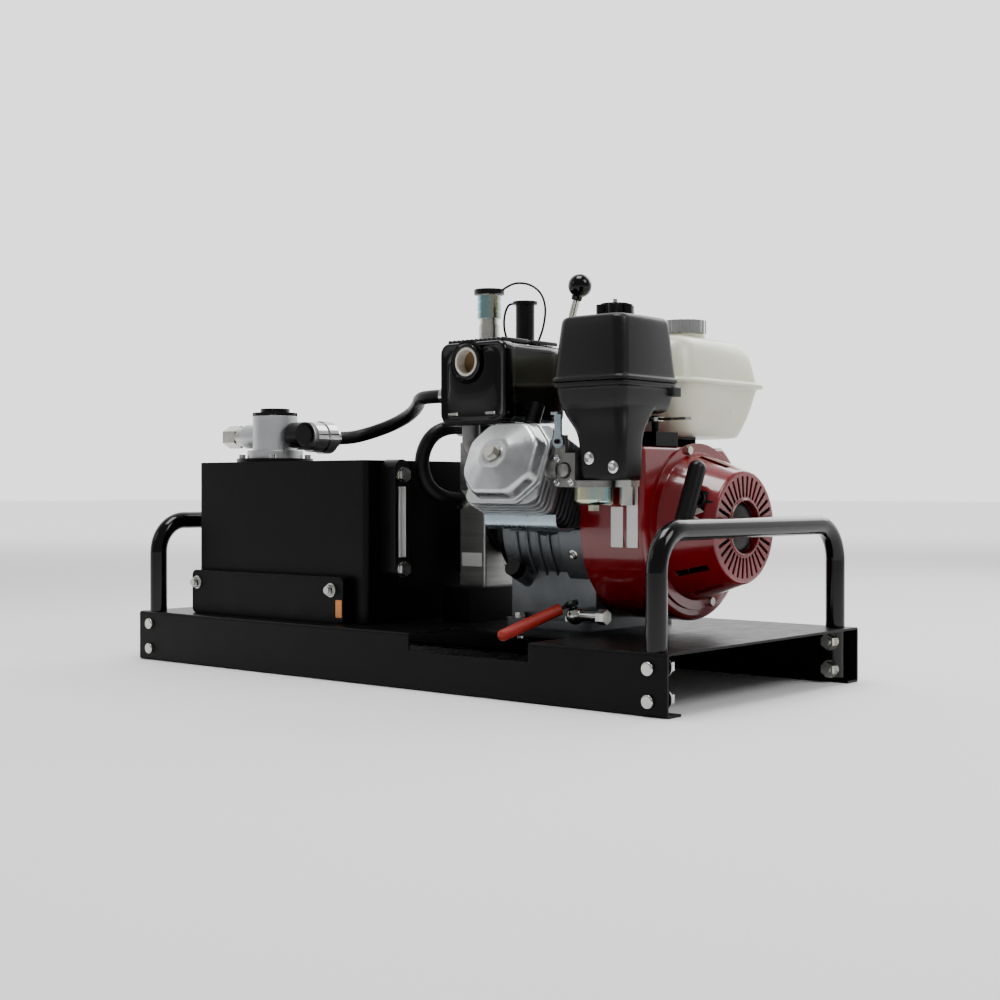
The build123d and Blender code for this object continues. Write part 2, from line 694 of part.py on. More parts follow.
def lever_bracket():
    x1 = LEVER_X + 12
    y = VALVE_Y
    top = LEVER_Z + 12
    low = VALVE_BOTTOM + 2
    body = block(VALVE_END, x1, y - 15, y + 15, low, top)
    body -= block(VALVE_END + 4, x1 + 1, y - 10, y + 10, low - 1, top + 1)
    body -= x_rod(VALVE_END - 1, VALVE_END + 5, y, SPOOL_Z, SPOOL_RADIUS + 0.5)
    return body - y_rod(y - 16, y + 16, LEVER_X, LEVER_Z, 4 + HOLE_GAP)


def lever_pin():
    y = VALVE_Y
    pin = y_rod(y - 17, y + 17, LEVER_X, LEVER_Z, 4)
    return pin + y_rod(y - 19, y - 15, LEVER_X, LEVER_Z, 6)


def lever_tip(reach):
    """Point on the lever at a distance above its pivot."""
    turn = math.radians(LEVER_TILT)
    return (LEVER_X + reach * math.sin(turn), VALVE_Y, LEVER_Z + reach * math.cos(turn))


def valve_lever():
    y = VALVE_Y
    lever = y_rod(y - 7, y + 7, LEVER_X, LEVER_Z, 9)
    lever += block(LEVER_X - 2, LEVER_X + 2, y - 3, y + 3, SPOOL_Z, LEVER_Z)
    lever += Pos(LEVER_X, y, SPOOL_Z) * Sphere(4)
    lever += rod(lever_tip(4), lever_tip(LEVER_LENGTH), 5)
    return lever - y_rod(y - 8, y + 8, LEVER_X, LEVER_Z, 4 + RUN_FIT)


def lever_knob():
    knob = Pos(*lever_tip(LEVER_LENGTH)) * Sphere(16)
    neck = cone(lever_tip(LEVER_LENGTH - 20), lever_tip(LEVER_LENGTH), 7, 9)
    return knob + neck - rod(lever_tip(0), lever_tip(LEVER_LENGTH), 5)


def coupler_socket():
    """Quick-release socket; a shoulder stops its sliding collar."""
    x, y = COUPLER_X, VALVE_Y
    body = z_rod(VALVE_TOP - 12, VALVE_TOP, x, y, 10 - HOLE_GAP)
    body += hexagon((x, y, VALVE_TOP), (x, y, VALVE_TOP + 14), 30)
    body += z_rod(VALVE_TOP + 14, VALVE_TOP + 54, x, y, 15)
    body += z_rod(VALVE_TOP + 54, VALVE_TOP + 97, x, y, 13.5)
    body -= z_rod(VALVE_TOP - 13, VALVE_TOP + 50, x, y, 6)
    return body - z_rod(VALVE_TOP + 50, VALVE_TOP + 98, x, y, 10)


def coupler_collar():
    x, y = COUPLER_X, VALVE_Y
    low = VALVE_TOP + 63
    ring = z_rod(low, low + 32, x, y, 17)
    for z in (low + 8, low + 22):
        ring -= z_rod(z, z + 3, x, y, 18) - z_rod(z, z + 3, x, y, 16)
    return ring - z_rod(low - 1, low + 33, x, y, 13.5 + RUN_FIT)


def coupler_cap():
    x, y = COUPLER_X, VALVE_Y
    low = VALVE_TOP + 97
    cap = z_rod(low, low + 7, x, y, 21.5)
    return cap + z_rod(low - 20, low, x, y, 10 - RUN_FIT)


def coupler_nipple():
    x, y = NIPPLE_X, VALVE_Y
    body = z_rod(VALVE_TOP - 12, VALVE_TOP, x, y, 10 - HOLE_GAP)
    body += hexagon((x, y, VALVE_TOP), (x, y, VALVE_TOP + 12), 27)
    body += z_rod(VALVE_TOP + 12, VALVE_TOP + 66, x, y, 9.5)
    return body - z_rod(VALVE_TOP - 13, VALVE_TOP + 67, x, y, 5)


def nipple_cap():
    x, y = NIPPLE_X, VALVE_Y
    low = VALVE_TOP + 18
    top = VALVE_TOP + 78
    cap = z_rod(low, top, x, y, 13)
    cap += z_rod(top, top + 4, x, y, 17)
    return cap - z_rod(low - 1, VALVE_TOP + 68, x, y, 9.5 + RUN_FIT)


def hose_fittings():
    """Crimped ends of the two hoses, with their hexagons."""
    x, y, z = PRESSURE_ROUTE[0]
    upper = y_rod(y, VALVE_Y - VALVE_WIDTH / 2, x, z, 13)
    upper += y_rod(VALVE_Y - VALVE_WIDTH / 2, VALVE_Y - VALVE_WIDTH / 2 + 13, x, z, 8.8)
    x, y, z = PRESSURE_ROUTE[-1]
    lower = y_rod(y, BLOCK_FRONT, x, z, 13)
    lower += y_rod(BLOCK_FRONT, BLOCK_FRONT + 13, x, z, 8.8)
    x, y, z = RETURN_ROUTE[-1]
    end = x_rod(x, VALVE_START - 8, y, z, 13)
    end += hexagon((VALVE_START - 8, y, z), (VALVE_START, y, z), 27)
    return [upper, lower, end]


def return_hose():
    return hose(RETURN_ROUTE, HOSE_RADIUS, "return_hose")


def pressure_hose():
    return hose(PRESSURE_ROUTE, HOSE_RADIUS, "pressure_hose")


def cap_tether():
    return hose(CAP_TETHER_ROUTE, TETHER_RADIUS, "cap_tether")


def nipple_tether():
    return hose(NIPPLE_TETHER_ROUTE, TETHER_RADIUS, "nipple_tether")


def tether_ring():
    """Ring round the nipple's foot that both tethers are moulded to."""
    low = VALVE_TOP + 13
    ring = z_rod(low, low + 4, NIPPLE_X, VALVE_Y, 15)
    return ring - z_rod(low - 1, low + 5, NIPPLE_X, VALVE_Y, 9.5 + HOLE_GAP)


# ---------------------------------------------------------------- engine
def engine_bolt_places():
    """Plan positions of the four engine mounting bolts."""
    places = []
    for x in (CASE_START + 22, CASE_END - 34):
        for y in (CRANK_Y - 89, CRANK_Y + 89):
            places.append((x, y))
    return places


def crankcase():
    """Casting of crankcase, feet and finned barrel, open towards the output cover."""
    body = x_rod(CASE_START + 12, CASE_END, CRANK_Y, CRANK_Z, CASE_RADIUS)
    base = block(CASE_START + 12, CASE_END, CRANK_Y - 80, CRANK_Y + 80, DECK_TOP, CRANK_Z)
    body += base
    feet = block(CASE_START, CASE_END, CRANK_Y - 98, CRANK_Y + 98, DECK_TOP, DECK_TOP + 12)
    body += fillet(feet.edges().filter_by(Axis.Z), 10)
    body += bored(CASE_RADIUS - 30, BARREL_END, BORE_RADIUS + 8)
    reach = CASE_RADIUS + 4
    while reach < BARREL_END - FIN_THICK:
        body += slab(reach, FIN_THICK, FIN_WIDTH, FIN_WIDTH - 6, 12)
        reach += FIN_PITCH
    body += slab(BARREL_END - 5, 5, FIN_WIDTH, FIN_WIDTH - 6, 12)
    cavity = CASE_RADIUS - CASE_WALL
    body -= x_rod(CASE_START, CASE_END - CASE_WALL, CRANK_Y, CRANK_Z, cavity)
    sump = DECK_TOP + 14
    body -= block(
        CASE_START + 11, CASE_END - CASE_WALL, CRANK_Y - 68, CRANK_Y + 68, sump, CRANK_Z,
    )
    body -= bored(0, BARREL_END + 1, BORE_RADIUS)
    body -= x_rod(CASE_END - BEARING_WIDTH - 1, CASE_END - 3, CRANK_Y, CRANK_Z, BEARING_RADIUS)
    body -= x_rod(CASE_END - 4, CASE_END + 1, CRANK_Y, CRANK_Z, JOURNAL_RADIUS + 3)
    for x, y in engine_bolt_places():
        body -= z_rod(DECK_TOP - 1, DECK_TOP + 13, x, y, STUD_RADIUS + HOLE_GAP)
    body += rod(dipstick_point(-8), dipstick_point(20), 12)
    body -= rod(dipstick_point(-40), dipstick_point(21), 8)
    return body - y_rod(CRANK_Y - 99, CRANK_Y - 60, drain_x(), drain_z(), 9)


def engine_bolts():
    bolts = []
    for x, y in engine_bolt_places():
        top = DECK_TOP + 12
        low = DECK_TOP - SHEET
        shank = z_rod(low - 12, top, x, y, STUD_RADIUS)
        head = hexagon((x, y, top), (x, y, top + 7), 13)
        nut = hexagon((x, y, low), (x, y, low - 7), 13)
        bolts.append(shank + head + nut)
    return bolts


def cover_bolt_points():
    """Bolt circle of the output-side cover, kept clear of the base."""
    return [crank_point(CASE_START, CASE_RADIUS - 7, turn) for turn in range(-45, 226, 45)]


def crankcase_cover():
    """Output-side cover with the bearing and the pump adapter's face."""
    body = x_rod(CASE_START, CASE_START + 12, CRANK_Y, CRANK_Z, CASE_RADIUS)
    low = DECK_TOP + 12
    body += block(CASE_START, CASE_START + 12, CRANK_Y - 80, CRANK_Y + 80, low, CRANK_Z)
    body += x_rod(ENGINE_X, CASE_START, CRANK_Y, CRANK_Z, 80)
    body -= x_rod(CASE_START - 5, CASE_START + 13, CRANK_Y, CRANK_Z, BEARING_RADIUS)
    body -= x_rod(ENGINE_X - 1, CASE_START, CRANK_Y, CRANK_Z, SHAFT_RADIUS + 4)
    for x, y, z in cover_bolt_points():
        body -= x_rod(CASE_START - 1, CASE_START + 13, y, z, 3 + HOLE_GAP)
    return body


def cover_bolts():
    bolts = []
    for x, y, z in cover_bolt_points():
        shank = x_rod(CASE_START, CASE_START + 12, y, z, 3)
        bolts.append(shank + hexagon((CASE_START, y, z), (CASE_START - 5.5, y, z), 11))
    return bolts


def main_bearings():
    """Two crankshaft bearings, each drawn as one closed ring."""
    rings = []
    for x in (CASE_START - 5, CASE_END - BEARING_WIDTH - 3):
        ring = x_rod(x, x + BEARING_WIDTH, CRANK_Y, CRANK_Z, BEARING_RADIUS)
        ring -= x_rod(x - 1, x + BEARING_WIDTH + 1, CRANK_Y, CRANK_Z, JOURNAL_RADIUS + RUN_FIT)
        rings.append(ring)
    return rings


def crankshaft():
    """Crankshaft: output stub, journals, two webs with counterweights and the crank pin."""
    pin = crank_point(0, THROW, CYLINDER_TILT)
    shaft = x_rod(ENGINE_X - 25.8, SHROUD_START + 59, CRANK_Y, CRANK_Z, SHAFT_RADIUS)
    shaft += x_rod(CASE_START - 5, CASE_START + 30, CRANK_Y, CRANK_Z, JOURNAL_RADIUS)
    shaft += x_rod(CYLINDER_X + 16, CASE_END, CRANK_Y, CRANK_Z, JOURNAL_RADIUS)
    for x in (CYLINDER_X - 34, CYLINDER_X + 16):
        web = x_rod(x, x + 18, CRANK_Y, CRANK_Z, 60)
        cut = block(x - 1, x + 19, CRANK_Y - 70, CRANK_Y + 70, CRANK_Z, CRANK_Z + 70)
        shaft += web - cut.rotate(Axis((0, CRANK_Y, CRANK_Z), (1, 0, 0)), 90 - CYLINDER_TILT)
        shaft += x_rod(x, x + 18, pin[1], pin[2], 24)
        shaft += x_rod(x, x + 18, CRANK_Y, CRANK_Z, 28)
    shaft -= x_rod(CYLINDER_X - 16, CYLINDER_X + 16, CRANK_Y, CRANK_Z, SHAFT_RADIUS + 1)
    return shaft + x_rod(CYLINDER_X - 20, CYLINDER_X + 20, pin[1], pin[2], 17)


def piston():
    """Piston parked at top dead centre, hollow from below."""
    crown = BARREL_END - 2
    body = bored(crown - 38, crown, BORE_RADIUS - RUN_FIT)
    return body - bored(crown - 39, crown - 8, BORE_RADIUS - 5)


def cylinder_head():
    body = slab(BARREL_END, 5, FIN_WIDTH, FIN_WIDTH - 6, 12)
    body += slab(BARREL_END, HEAD_END - BARREL_END, FIN_WIDTH - 22, FIN_WIDTH - 26, 10)
    reach = BARREL_END + FIN_PITCH
    while reach < HEAD_END - FIN_THICK - 3:
        body += slab(reach, FIN_THICK, FIN_WIDTH, FIN_WIDTH - 6, 12)
        reach += FIN_PITCH
    body += slab(HEAD_END - 4, 4, FIN_WIDTH, FIN_WIDTH - 8, 14)
    edge = FIN_WIDTH / 2
    body += x_rod(CYLINDER_X - edge, CYLINDER_X - 40, *exhaust_port(), 14.5)
    body += x_rod(CYLINDER_X + 40, CYLINDER_X + edge, *intake_port(), 16)
    body -= rod(plug_point(20), plug_point(60), 7.2)
    body -= x_rod(CYLINDER_X + 30, CYLINDER_X + edge + 1, *intake_port(), 11)
    return body - x_rod(CYLINDER_X - edge - 1, CYLINDER_X - 30, *exhaust_port(), 12)


def intake_port():
    """Y and Z of the inlet on the flywheel side of the cylinder head."""
    return crank_point(0, (BARREL_END + HEAD_END) / 2, CYLINDER_TILT)[1:]


def exhaust_port():
    """Y and Z of the outlet on the pump side of the cylinder head."""
    return crank_point(0, BARREL_END + 15, CYLINDER_TILT, 22)[1:]


def valve_cover():
    """Pressed cover of the valve gear: eight sides, a raised middle and a hollow inside."""
    plane = cylinder_plane(HEAD_END)
    depth = COVER_END - HEAD_END
    outline = Rectangle(118, 106)
    outline = chamfer(outline.vertices(), 26)
    inner = offset(outline, -4)
    body = plane * extrude(outline, depth - 8)
    body += plane * loft([Pos(0, 0, depth - 8) * outline, Pos(0, 0, depth) * offset(outline, -12)])
    body -= plane * extrude(inner, depth - 10)
    body -= bored(HEAD_END, COVER_END + 1, 4 + HOLE_GAP)
    rim = plane * extrude(offset(outline, 2), 4) - plane * extrude(inner, 5)
    return body + rim


def valve_cover_bolt():
    shank = bored(HEAD_END, COVER_END, 4)
    washer = bored(COVER_END, COVER_END + 1.5, 11)
    tip = crank_point(CYLINDER_X, COVER_END + 1.5, CYLINDER_TILT)
    head = hexagon(tip, crank_point(CYLINDER_X, COVER_END + 9, CYLINDER_TILT), 15)
    return shank + washer + head


def top_bolts():
    """The valve cover's bolt and the air cleaner's stud."""
    return [valve_cover_bolt(), air_stud()]


def plug_point(side):
    """Point on the spark plug's axis, which stands square to the cylinder."""
    return crank_point(CYLINDER_X + 2, (BARREL_END + HEAD_END) / 2, CYLINDER_TILT, side)


def spark_plug():
    body = rod(plug_point(30), plug_point(54), 7)
    return body + hexagon(plug_point(54), plug_point(64), 21) + rod(plug_point(64), plug_point(74), 5)


def plug_boot():
    boot = rod(plug_point(64.5), plug_point(92), 10)
    return boot - rod(plug_point(64), plug_point(74), 5)


# ---------------------------------------------------------------- fan, shroud, starter
def shroud_outline(inset):
    """Fan circle with a square shoulder towards the cylinder, cut flat on top."""
    radius = SHROUD_RADIUS - inset
    left = CRANK_Y - radius
    top = SHROUD_TOP - inset
    shoulder = (left + CRANK_Y + 30) / 2
    outline = Pos(CRANK_Y, CRANK_Z) * Circle(radius)
    outline += Pos(shoulder, (CRANK_Z + top) / 2) * Rectangle(CRANK_Y + 30 - left, top - CRANK_Z)
    outline &= Pos(CRANK_Y, top - 200) * Rectangle(400, 400)
    outline &= Pos(CRANK_Y, DECK_TOP + 3 + inset + 200) * Rectangle(400, 400)
    return outline


def shroud_slab(x0, x1, inset):
    face = Plane(origin=(x0, 0, 0), x_dir=(0, 1, 0), z_dir=(1, 0, 0))
    return face * extrude(shroud_outline(inset), x1 - x0)


def fan_shroud():
    body = shroud_slab(SHROUD_START, SHROUD_END, 0)
    front = body.faces().sort_by(Axis.X)[-1]
    body = fillet(front.edges(), 7)
    body -= shroud_slab(SHROUD_START - 1, SHROUD_END - SHROUD_WALL, SHROUD_WALL)
    body -= x_rod(SHROUD_END - 10, SHROUD_END + 1, CRANK_Y, CRANK_Z, STARTER_ROOT - 7)
    for y, z in starter_bolt_places():
        body -= x_rod(SHROUD_END - 10, SHROUD_END + 1, y, z, 3 + HOLE_GAP)
    back = x_rod(SHROUD_START, SHROUD_START + SHROUD_WALL, CRANK_Y, CRANK_Z, 116.5)
    flat = SHROUD_TOP - SHROUD_WALL
    back &= block(SHROUD_START, SHROUD_END, -400, 400, DECK_TOP + 5.5, flat)
    return body + (back - x_rod(SHROUD_START - 1, SHROUD_END, CRANK_Y, CRANK_Z, 60))


def flywheel():
    """Flywheel with a rim, a hub and sixteen fan blades."""
    x = SHROUD_START + 7
    wheel = x_rod(x, x + 30, CRANK_Y, CRANK_Z, FLYWHEEL_RADIUS)
    wheel -= x_rod(x - 1, x + 31, CRANK_Y, CRANK_Z, FLYWHEEL_RADIUS - 16)
    wheel += x_rod(x + 6, x + 15, CRANK_Y, CRANK_Z, FLYWHEEL_RADIUS - 8)
    wheel += x_rod(x, x + 40, CRANK_Y, CRANK_Z, 26)
    for step in range(16):
        blade = block(x + 14, x + 60, CRANK_Y + 60, CRANK_Y + 95, CRANK_Z - 1.5, CRANK_Z + 1.5)
        wheel += blade.rotate(Axis((0, CRANK_Y, CRANK_Z), (1, 0, 0)), 22.5 * step)
    return wheel - x_rod(x - 1, x + 41, CRANK_Y, CRANK_Z, SHAFT_RADIUS + 0.01)


def flywheel_nut():
    """Nut and starter cup on the end of the crankshaft."""
    x = SHROUD_START + 47
    cup = x_rod(x, x + 26, CRANK_Y, CRANK_Z, 34) - x_rod(x + 4, x + 27, CRANK_Y, CRANK_Z, 31)
    for step in range(3):
        window = block(x + 10, x + 20, CRANK_Y, CRANK_Y + 40, CRANK_Z - 7, CRANK_Z + 7)
        cup -= window.rotate(Axis((0, CRANK_Y, CRANK_Z), (1, 0, 0)), 120 * step)
    nut = hexagon((x + 4, CRANK_Y, CRANK_Z), (x + 16, CRANK_Y, CRANK_Z), 24)
    return cup + nut - x_rod(x - 1, x + 12, CRANK_Y, CRANK_Z, SHAFT_RADIUS + 0.01)


def starter_bolt_places():
    return [crank_point(0, STARTER_ROOT + 5, turn)[1:] for turn in (-20, 75, 165, 255)]


def starter_housing():
    """Conical drum with radial cooling slots, side windows and a hollow post inside."""
    x0, x1 = SHROUD_END, STARTER_END
    start = (x0, CRANK_Y, CRANK_Z)
    end = (x1, CRANK_Y, CRANK_Z)
    body = cone(start, end, STARTER_ROOT, STARTER_TIP)
    rim = body.faces().sort_by(Axis.X)[-1].edges()
    body = fillet(rim, 4)
    inner_end = (x1 - STARTER_WALL, CRANK_Y, CRANK_Z)
    body -= cone(start, inner_end, STARTER_ROOT - STARTER_WALL, STARTER_TIP - STARTER_WALL)
    flange = x_rod(x0, x0 + STARTER_WALL, CRANK_Y, CRANK_Z, STARTER_ROOT + 11)
    body += flange - x_rod(x0 - 1, x0 + 4, CRANK_Y, CRANK_Z, STARTER_ROOT - STARTER_WALL)
    for step in range(SLOT_COUNT):
        slot = block(x1 - 5, x1 + 1, CRANK_Y + 38, CRANK_Y + 64, CRANK_Z - 2.3, CRANK_Z + 2.3)
        body -= slot.rotate(Axis((0, CRANK_Y, CRANK_Z), (1, 0, 0)), 360 / SLOT_COUNT * step)
    for step in range(9):
        window = block(x0 + 14, x1 - 16, CRANK_Y + 60, CRANK_Y + 99, CRANK_Z - 5, CRANK_Z + 5)
        turn = 40 + 30 * step - 180
        body -= window.rotate(Axis((0, CRANK_Y, CRANK_Z), (1, 0, 0)), turn)
    for y, z in starter_bolt_places():
        body -= x_rod(x0 - 1, x0 + 4, y, z, 3 + HOLE_GAP)
    body += x_rod(x1 - 11, x1, CRANK_Y, CRANK_Z, DISH_RADIUS + 2.5)
    body -= x_rod(x1 - 8, x1 + 1, CRANK_Y, CRANK_Z, DISH_RADIUS)
    body += x_rod(GRIP_X - 10, x1 - 9, CRANK_Y, CRANK_Z, POST_RADIUS)
    body -= x_rod(GRIP_X - 11, x1 + 1, CRANK_Y, CRANK_Z, 7)
    body -= rod(grip_point(60), grip_point(90), 8)
    return body


def starter_bolts():
    bolts = []
    x0 = SHROUD_END + STARTER_WALL
    for y, z in starter_bolt_places():
        shank = x_rod(SHROUD_END - 6, x0, y, z, 3)
        bolts.append(shank + hexagon((x0, y, z), (x0 + 5, y, z), 10))
    return bolts


def grip_point(reach, side=0.0):
    """Point on the line along which the starter grip is pulled."""
    return crank_point(GRIP_X, reach, GRIP_ANGLE, side)


def rope_eyelet():
    """Smooth bush where the rope leaves the housing."""
    bush = rod(grip_point(66), grip_point(82), 8)
    bush += rod(grip_point(80), grip_point(84), 11)
    return bush - rod(grip_point(65), grip_point(85), 3)


def starter_pulley():
    """Rope reel that turns on the housing's post."""
    x = GRIP_X - 9
    reel = x_rod(x, x + 16, CRANK_Y, CRANK_Z, PULLEY_RADIUS)
    reel -= x_rod(x + 3, x + 13, CRANK_Y, CRANK_Z, PULLEY_RADIUS + 1) - x_rod(
        x + 3, x + 13, CRANK_Y, CRANK_Z, PULLEY_RADIUS - 12
    )
    return reel - x_rod(x - 1, x + 17, CRANK_Y, CRANK_Z, POST_RADIUS + RUN_FIT)


def rope_coil():
    """Wound rope on the reel, as one ring."""
    x = GRIP_X - 6
    coil = x_rod(x + 0.5, x + 9.5, CRANK_Y, CRANK_Z, PULLEY_RADIUS - 2)
    return coil - x_rod(x, x + 10, CRANK_Y, CRANK_Z, PULLEY_RADIUS - 12)


def rope_lead():
    """The short stretch of rope between the reel and the eyelet."""
    return rod(grip_point(PULLEY_RADIUS + 0.5), grip_point(GRIP_REACH - GRIP_RADIUS - 1), 2)


def starter_grip():
    """T-shaped grip across the rope, with a short neck over the eyelet."""
    half = GRIP_LENGTH / 2 - GRIP_RADIUS
    low = grip_point(GRIP_REACH, -half)
    high = grip_point(GRIP_REACH, half)
    grip = rod(low, high, GRIP_RADIUS)
    grip += Pos(*low) * Sphere(GRIP_RADIUS)
    grip += Pos(*high) * Sphere(GRIP_RADIUS)
    return grip + cone(grip_point(GRIP_REACH - GRIP_RADIUS - 0.5), grip_point(GRIP_REACH), 8, 11)


# ---------------------------------------------------------------- fuel, air, exhaust
def fuel_block(inset, z0, z1, corner):
    x0 = FUEL_X - FUEL_LENGTH / 2 + inset
    x1 = FUEL_X + FUEL_LENGTH / 2 - inset
    y0 = FUEL_Y - FUEL_WIDTH / 2 + inset
    y1 = FUEL_Y + FUEL_WIDTH / 2 - inset
    return rounded_block(x0, x1, y0, y1, z0, z1, corner)


def fuel_tank():
    """Two moulded halves with a seam flange, rounded shoulders and a raised filler neck."""
    top = FUEL_BOTTOM + FUEL_HEIGHT
    body = fuel_block(0, FUEL_BOTTOM, top, 34)
    ends = body.faces().filter_by(Axis.Z).edges()
    body = fillet(ends, 20)
    seam_z = FUEL_BOTTOM + 68
    body += fuel_block(-SEAM, seam_z, seam_z + 5, 40)
    body += z_rod(top - 6, top + 6, FILLER_X, FILLER_Y, FILLER_RADIUS + 3)
    hollow = fuel_block(FUEL_WALL, FUEL_BOTTOM + FUEL_WALL, top - FUEL_WALL, 31)
    ends = hollow.faces().filter_by(Axis.Z).edges()
    body -= fillet(ends, 17)
    return body - z_rod(top - 8, top + 7, FILLER_X, FILLER_Y, FILLER_RADIUS)


def fuel_cap():
    top = FUEL_BOTTOM + FUEL_HEIGHT + 6
    cap = z_rod(top, top + 17, FILLER_X, FILLER_Y, 31)
    for step in range(20):
        turn = math.radians(18 * step)
        px = FILLER_X + 32.5 * math.cos(turn)
        py = FILLER_Y + 32.5 * math.sin(turn)
        cap -= z_rod(top - 1, top + 18, px, py, 3)
    return cap + z_rod(top - 10, top, FILLER_X, FILLER_Y, FILLER_RADIUS - RUN_FIT)


def tank_bracket():
    """Folded steel cradle between the shroud's top and the fuel tank."""
    x0, x1 = FUEL_X - 45, FUEL_X + 45
    y0, y1 = CRANK_Y + 4, CRANK_Y + 66
    body = block(x0, x1, y0, y1, SHROUD_TOP, FUEL_BOTTOM)
    return body - block(x0 - 1, x1 + 1, y0 + SHEET, y1 - SHEET, SHROUD_TOP - 1, FUEL_BOTTOM - SHEET)


def air_cover():
    """Moulded lid of the air cleaner, hollow from below."""
    x0, x1 = AIR_X - AIR_LENGTH / 2, AIR_X + AIR_LENGTH / 2
    y0, y1 = AIR_Y - AIR_WIDTH / 2, AIR_Y + AIR_WIDTH / 2
    body = rounded_block(x0, x1, y0, y1, AIR_SPLIT, AIR_TOP, 16)
    top = body.faces().sort_by(Axis.Z)[-1]
    body = fillet(top.edges(), 12)
    hollow = rounded_block(
        x0 + SHEET, x1 - SHEET, y0 + SHEET, y1 - SHEET, AIR_SPLIT - 1, AIR_TOP - SHEET, 13,
    )
    hollow_top = hollow.faces().sort_by(Axis.Z)[-1]
    body -= fillet(hollow_top.edges(), 9)
    return body - z_rod(AIR_TOP - 10, AIR_TOP + 1, AIR_X, AIR_Y, 3 + HOLE_GAP)


def air_base():
    """Lower half of the air cleaner with its intake duct down to the carburettor."""
    x0, x1 = AIR_X - AIR_LENGTH / 2, AIR_X + AIR_LENGTH / 2
    y0, y1 = AIR_Y - AIR_WIDTH / 2, AIR_Y + AIR_WIDTH / 2
    body = rounded_block(x0 + 2, x1 - 2, y0 + 2, y1 - 2, AIR_BOTTOM, AIR_SPLIT, 16)
    hollow = rounded_block(
        x0 + 6, x1 - 6, y0 + 6, y1 - 6, AIR_BOTTOM + 5, AIR_SPLIT + 1, 13,
    )
    body -= hollow
    body += z_rod(AIR_BOTTOM, AIR_SPLIT, AIR_X, AIR_Y, 8)
    duct_low = AIR_BOTTOM - 90
    body += rounded_block(x1 - 70, x1 - 4, y0 + 2, y0 + 48, duct_low, AIR_BOTTOM + 2, 10)
    body -= rounded_block(x1 - 66, x1 - 8, y0 + 6, y0 + 44, duct_low + 4, AIR_BOTTOM + 6, 7)
    return body - z_rod(AIR_SPLIT - 24, AIR_SPLIT + 1, AIR_X, AIR_Y, 3 + HOLE_GAP)


def air_element():
    """Pleated paper ring under the lid."""
    ring = z_rod(AIR_SPLIT, AIR_TOP - 16, AIR_X, AIR_Y, 44)
    return ring - z_rod(AIR_SPLIT - 1, AIR_TOP - 15, AIR_X, AIR_Y, 26)


def air_stud():
    return z_rod(AIR_SPLIT - 24, AIR_TOP + 22, AIR_X, AIR_Y, 3)


def air_knob():
    """Six-lobed wing nut on the lid's stud."""
    knob = z_rod(AIR_TOP, AIR_TOP + 16, AIR_X, AIR_Y, 18)
    for step in range(6):
        turn = math.radians(60 * step)
        px = AIR_X + 18 * math.cos(turn)
        py = AIR_Y + 18 * math.sin(turn)
        knob += z_rod(AIR_TOP + 2, AIR_TOP + 14, px, py, 7)
    return knob - z_rod(AIR_TOP - 1, AIR_TOP + 17, AIR_X, AIR_Y, 3 + RUN_FIT)


def bowl_place():
    """Plan position of the carburettor's float bowl."""
    return (AIR_X - 0.4, CRANK_Y - SHROUD_RADIUS - 27.5)


def carburetor():
    x, y = bowl_place()
    low = AIR_BOTTOM - 98
    body = z_rod(low, low + 8, x, y, 26)
    body += block(x - 46, x - 13, y - 22, y + 18, low, low + 42)
    body += block(x - 44, x - 28, y - 22, y - 16, low + 42, low + 64)
    return body + x_rod(CYLINDER_X + FIN_WIDTH / 2, x - 40, *intake_port(), 14)


def carb_bowl():
    """Pressed float bowl with its drain screw."""
    x, y = bowl_place()
    top = AIR_BOTTOM - 98
    bowl = z_rod(top - 22, top, x, y, 25)
    bottom = bowl.faces().sort_by(Axis.Z)[0]
    bowl = fillet(bottom.edges(), 7)
    bowl -= z_rod(top - 18, top + 1, x, y, 22)
    return bowl + hexagon((x, y, top - 22), (x, y, top - 29), 13) + z_rod(top - 22, top, x, y, 4)


def fuel_cock():
    """Fuel tap with its sediment cup under the intake duct."""
    x, y = AIR_X + 39, AIR_Y - 28.5
    top = AIR_BOTTOM - 90
    body = rounded_block(x - 12, x + 12, y - 12, y + 12, top - 8, top, 4)
    return body + z_rod(top - 30, top - 8, x, y, 9.5)


def muffler():
    """Pressed steel silencer box with a chamfered roof and one outlet."""
    x0, x1 = MUFFLER_X - MUFFLER_LENGTH / 2, MUFFLER_X + MUFFLER_LENGTH / 2
    y0, y1 = MUFFLER_Y - MUFFLER_WIDTH / 2, MUFFLER_Y + MUFFLER_WIDTH / 2
    top = MUFFLER_BOTTOM + MUFFLER_HEIGHT
    body = rounded_block(x0, x1, y0, y1, MUFFLER_BOTTOM, top, 12)
    roof = body.faces().sort_by(Axis.Z)[-1]
    body = fillet(roof.edges(), 10)
    body -= rounded_block(x0 + 3, x1 - 3, y0 + 3, y1 - 3, MUFFLER_BOTTOM + 3, top - 10, 9)
    x, z = outlet_place()
    body -= y_rod(y0 - 1, y0 + 14, x, z, 18)
    return body - z_rod(MUFFLER_BOTTOM - 1, MUFFLER_BOTTOM + 4, MUFFLER_X - 18, exhaust_port()[0], 12)


def outlet_place():
    """X and Z of the exhaust outlet."""
    return (MUFFLER_X - 8, MUFFLER_BOTTOM + 80)


def outlet_ring():
    x, z = outlet_place()
    y0 = MUFFLER_Y - MUFFLER_WIDTH / 2
    ring = y_rod(y0 - 3, y0, x, z, 21)
    ring += y_rod(y0, y0 + 12, x, z, 17.8)
    return ring - y_rod(y0 - 4, y0 + 13, x, z, 15.5)


